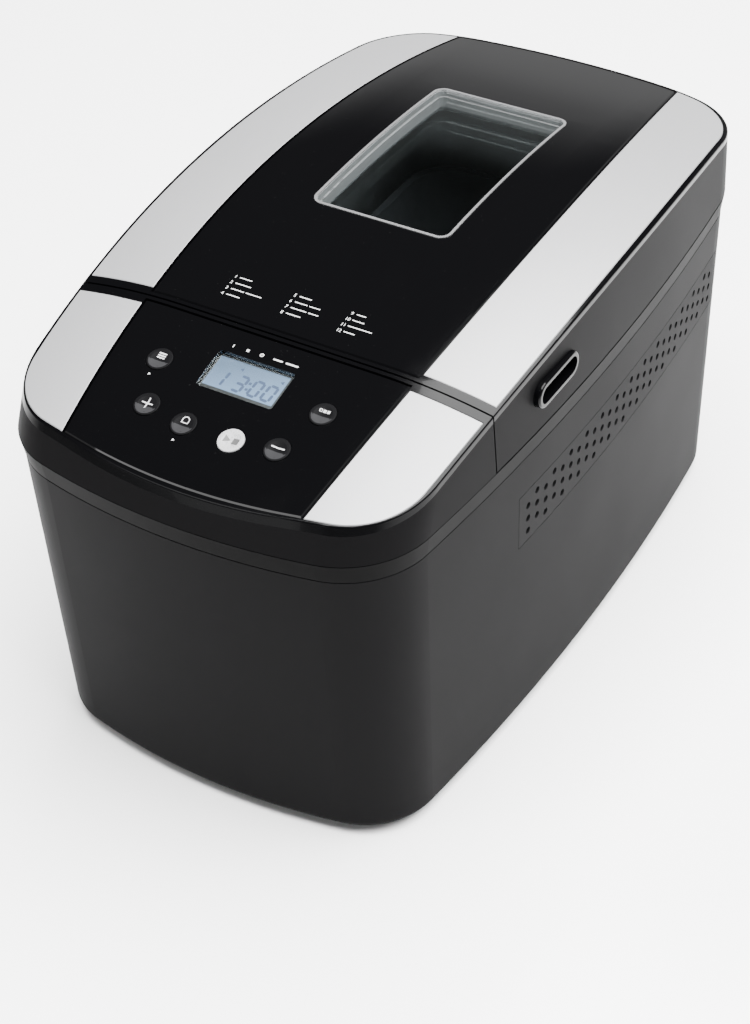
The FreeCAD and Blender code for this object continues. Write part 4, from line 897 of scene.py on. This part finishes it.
class BREAD_OT_stage(bpy.types.Operator):
    """Floor, lights and camera."""
    bl_idname = "bread.stage"
    bl_label = "Stage"

    floor_side = 12.0
    # Name, place, point aimed at, width and height in metres, and power in watts.
    lights = (("Overhead", (0.9, 0.4, 3.0), (0.9, 0.4, 0.0), 3.6, 3.2, 1010.0),
              ("Right", (2.3, 0.6, 1.1), (0, 0, 0.12), 1.6, 1.4, 3.0),
              ("Front", (-1.0, -2.3, 1.0), (0, -0.1, 0.2), 1.6, 1.0, 14.0),
              ("Rim", (-0.93, -1.1, 2.0), (0, -0.2, 0.22), 0.9, 0.6, 9.0))
    # The surroundings fade between these heights of the view's direction, to this share.
    fade_low, fade_high, fade_share = 0.2, 0.5, 0.05

    def light(self, name, place, aim, wide, tall, power):
        """One rectangular lamp."""
        activate(None)
        bpy.ops.object.light_add(type="AREA", location=place)
        lamp = bpy.context.object
        lamp.name = name
        lamp.data.shape, lamp.data.size, lamp.data.size_y = "RECTANGLE", wide, tall
        lamp.data.energy = power
        lamp.rotation_euler = (Vector(aim) - Vector(place)).to_track_quat("-Z", "Y").to_euler()

    def surroundings(self, scene, strength):
        """A white world that is darker overhead."""
        world = bpy.data.worlds.new("Surroundings")
        world.use_nodes = True
        scene.world = world
        tree = world.node_tree
        background = tree.nodes["Background"]
        background.inputs["Color"].default_value = (1.0, 1.0, 1.0, 1.0)
        height = tree.nodes.new("ShaderNodeSeparateXYZ")
        tree.links.new(tree.nodes.new("ShaderNodeTexCoord").outputs["Generated"],
                       height.inputs["Vector"])
        fade = tree.nodes.new("ShaderNodeMapRange")
        fade.interpolation_type = "SMOOTHSTEP"
        for name, value in (("From Min", self.fade_low), ("From Max", self.fade_high),
                            ("To Min", strength), ("To Max", strength * self.fade_share)):
            fade.inputs[name].default_value = value
        tree.links.new(height.outputs["Z"], fade.inputs["Value"])
        tree.links.new(fade.outputs["Result"], background.inputs["Strength"])

    def camera(self, scene, studio):
        """The camera on its orbit round the target, turned about its own axis."""
        back = Vector((math.sin(studio.azimuth) * math.cos(studio.elevation),
                       -math.cos(studio.azimuth) * math.cos(studio.elevation),
                       math.sin(studio.elevation)))
        right = Vector((math.cos(studio.azimuth), math.sin(studio.azimuth), 0.0))
        up = back.cross(right)
        rolled_right = right * math.cos(studio.roll) + up * math.sin(studio.roll)
        rolled_up = up * math.cos(studio.roll) - right * math.sin(studio.roll)
        turn = Matrix((rolled_right, rolled_up, back)).transposed()
        bpy.ops.object.camera_add()
        camera = bpy.context.object
        camera.matrix_world = (Matrix.Translation(Vector(studio.target) + back * studio.distance)
                               @ turn.to_4x4())
        camera.data.lens = studio.lens
        camera.data.clip_start, camera.data.clip_end = 0.01, 50.0
        scene.camera = camera

    def execute(self, context):
        studio = context.scene.machine_studio
        activate(None)
        bpy.ops.mesh.primitive_grid_add(x_subdivisions=8, y_subdivisions=8, size=self.floor_side)
        floor = rename(bpy.context.object, "floor")
        paint(floor, pale_floor("Floor", studio.floor))
        self.surroundings(context.scene, studio.world)
        for lamp in self.lights:
            self.light(*lamp)
        self.camera(context.scene, studio)
        return {"FINISHED"}


class BREAD_PT_panel(bpy.types.Panel):
    """Lists the settings and the pieces."""
    bl_idname = "BREAD_PT_panel"
    bl_label = "Bread machine"
    bl_space_type = "VIEW_3D"
    bl_region_type = "UI"
    bl_category = "Bread machine"

    def draw(self, context):
        """Shows every setting, then a button for each operator."""
        for group in (context.scene.machine_colours, context.scene.machine_sizes,
                      context.scene.machine_studio):
            column = self.layout.column(align=True)
            for name in group.__annotations__:
                column.prop(group, name)
        for operator in OPERATORS:
            self.layout.operator(operator.bl_idname)


OPERATORS = (BREAD_OT_body, BREAD_OT_top, BREAD_OT_window, BREAD_OT_keys, BREAD_OT_display,
             BREAD_OT_panel_marks, BREAD_OT_programme_list, BREAD_OT_chamber, BREAD_OT_pan,
             BREAD_OT_drive, BREAD_OT_stage)
GROUPS = {"machine_colours": MachineColours, "machine_sizes": MachineSizes,
          "machine_studio": StudioSettings}


def register():
    for each in (*GROUPS.values(), *OPERATORS, BREAD_PT_panel):
        bpy.utils.register_class(each)
    for name, group in GROUPS.items():
        setattr(bpy.types.Scene, name, PointerProperty(type=group))


def unregister():
    for name in GROUPS:
        delattr(bpy.types.Scene, name)
    for each in reversed((*GROUPS.values(), *OPERATORS, BREAD_PT_panel)):
        bpy.utils.unregister_class(each)


def main():
    """Builds everything."""
    register()
    for operator in OPERATORS:
        family, name = operator.bl_idname.split(".")
        getattr(getattr(bpy.ops, family), name)()
    activate(None)


if __name__ == "__main__":
    main()
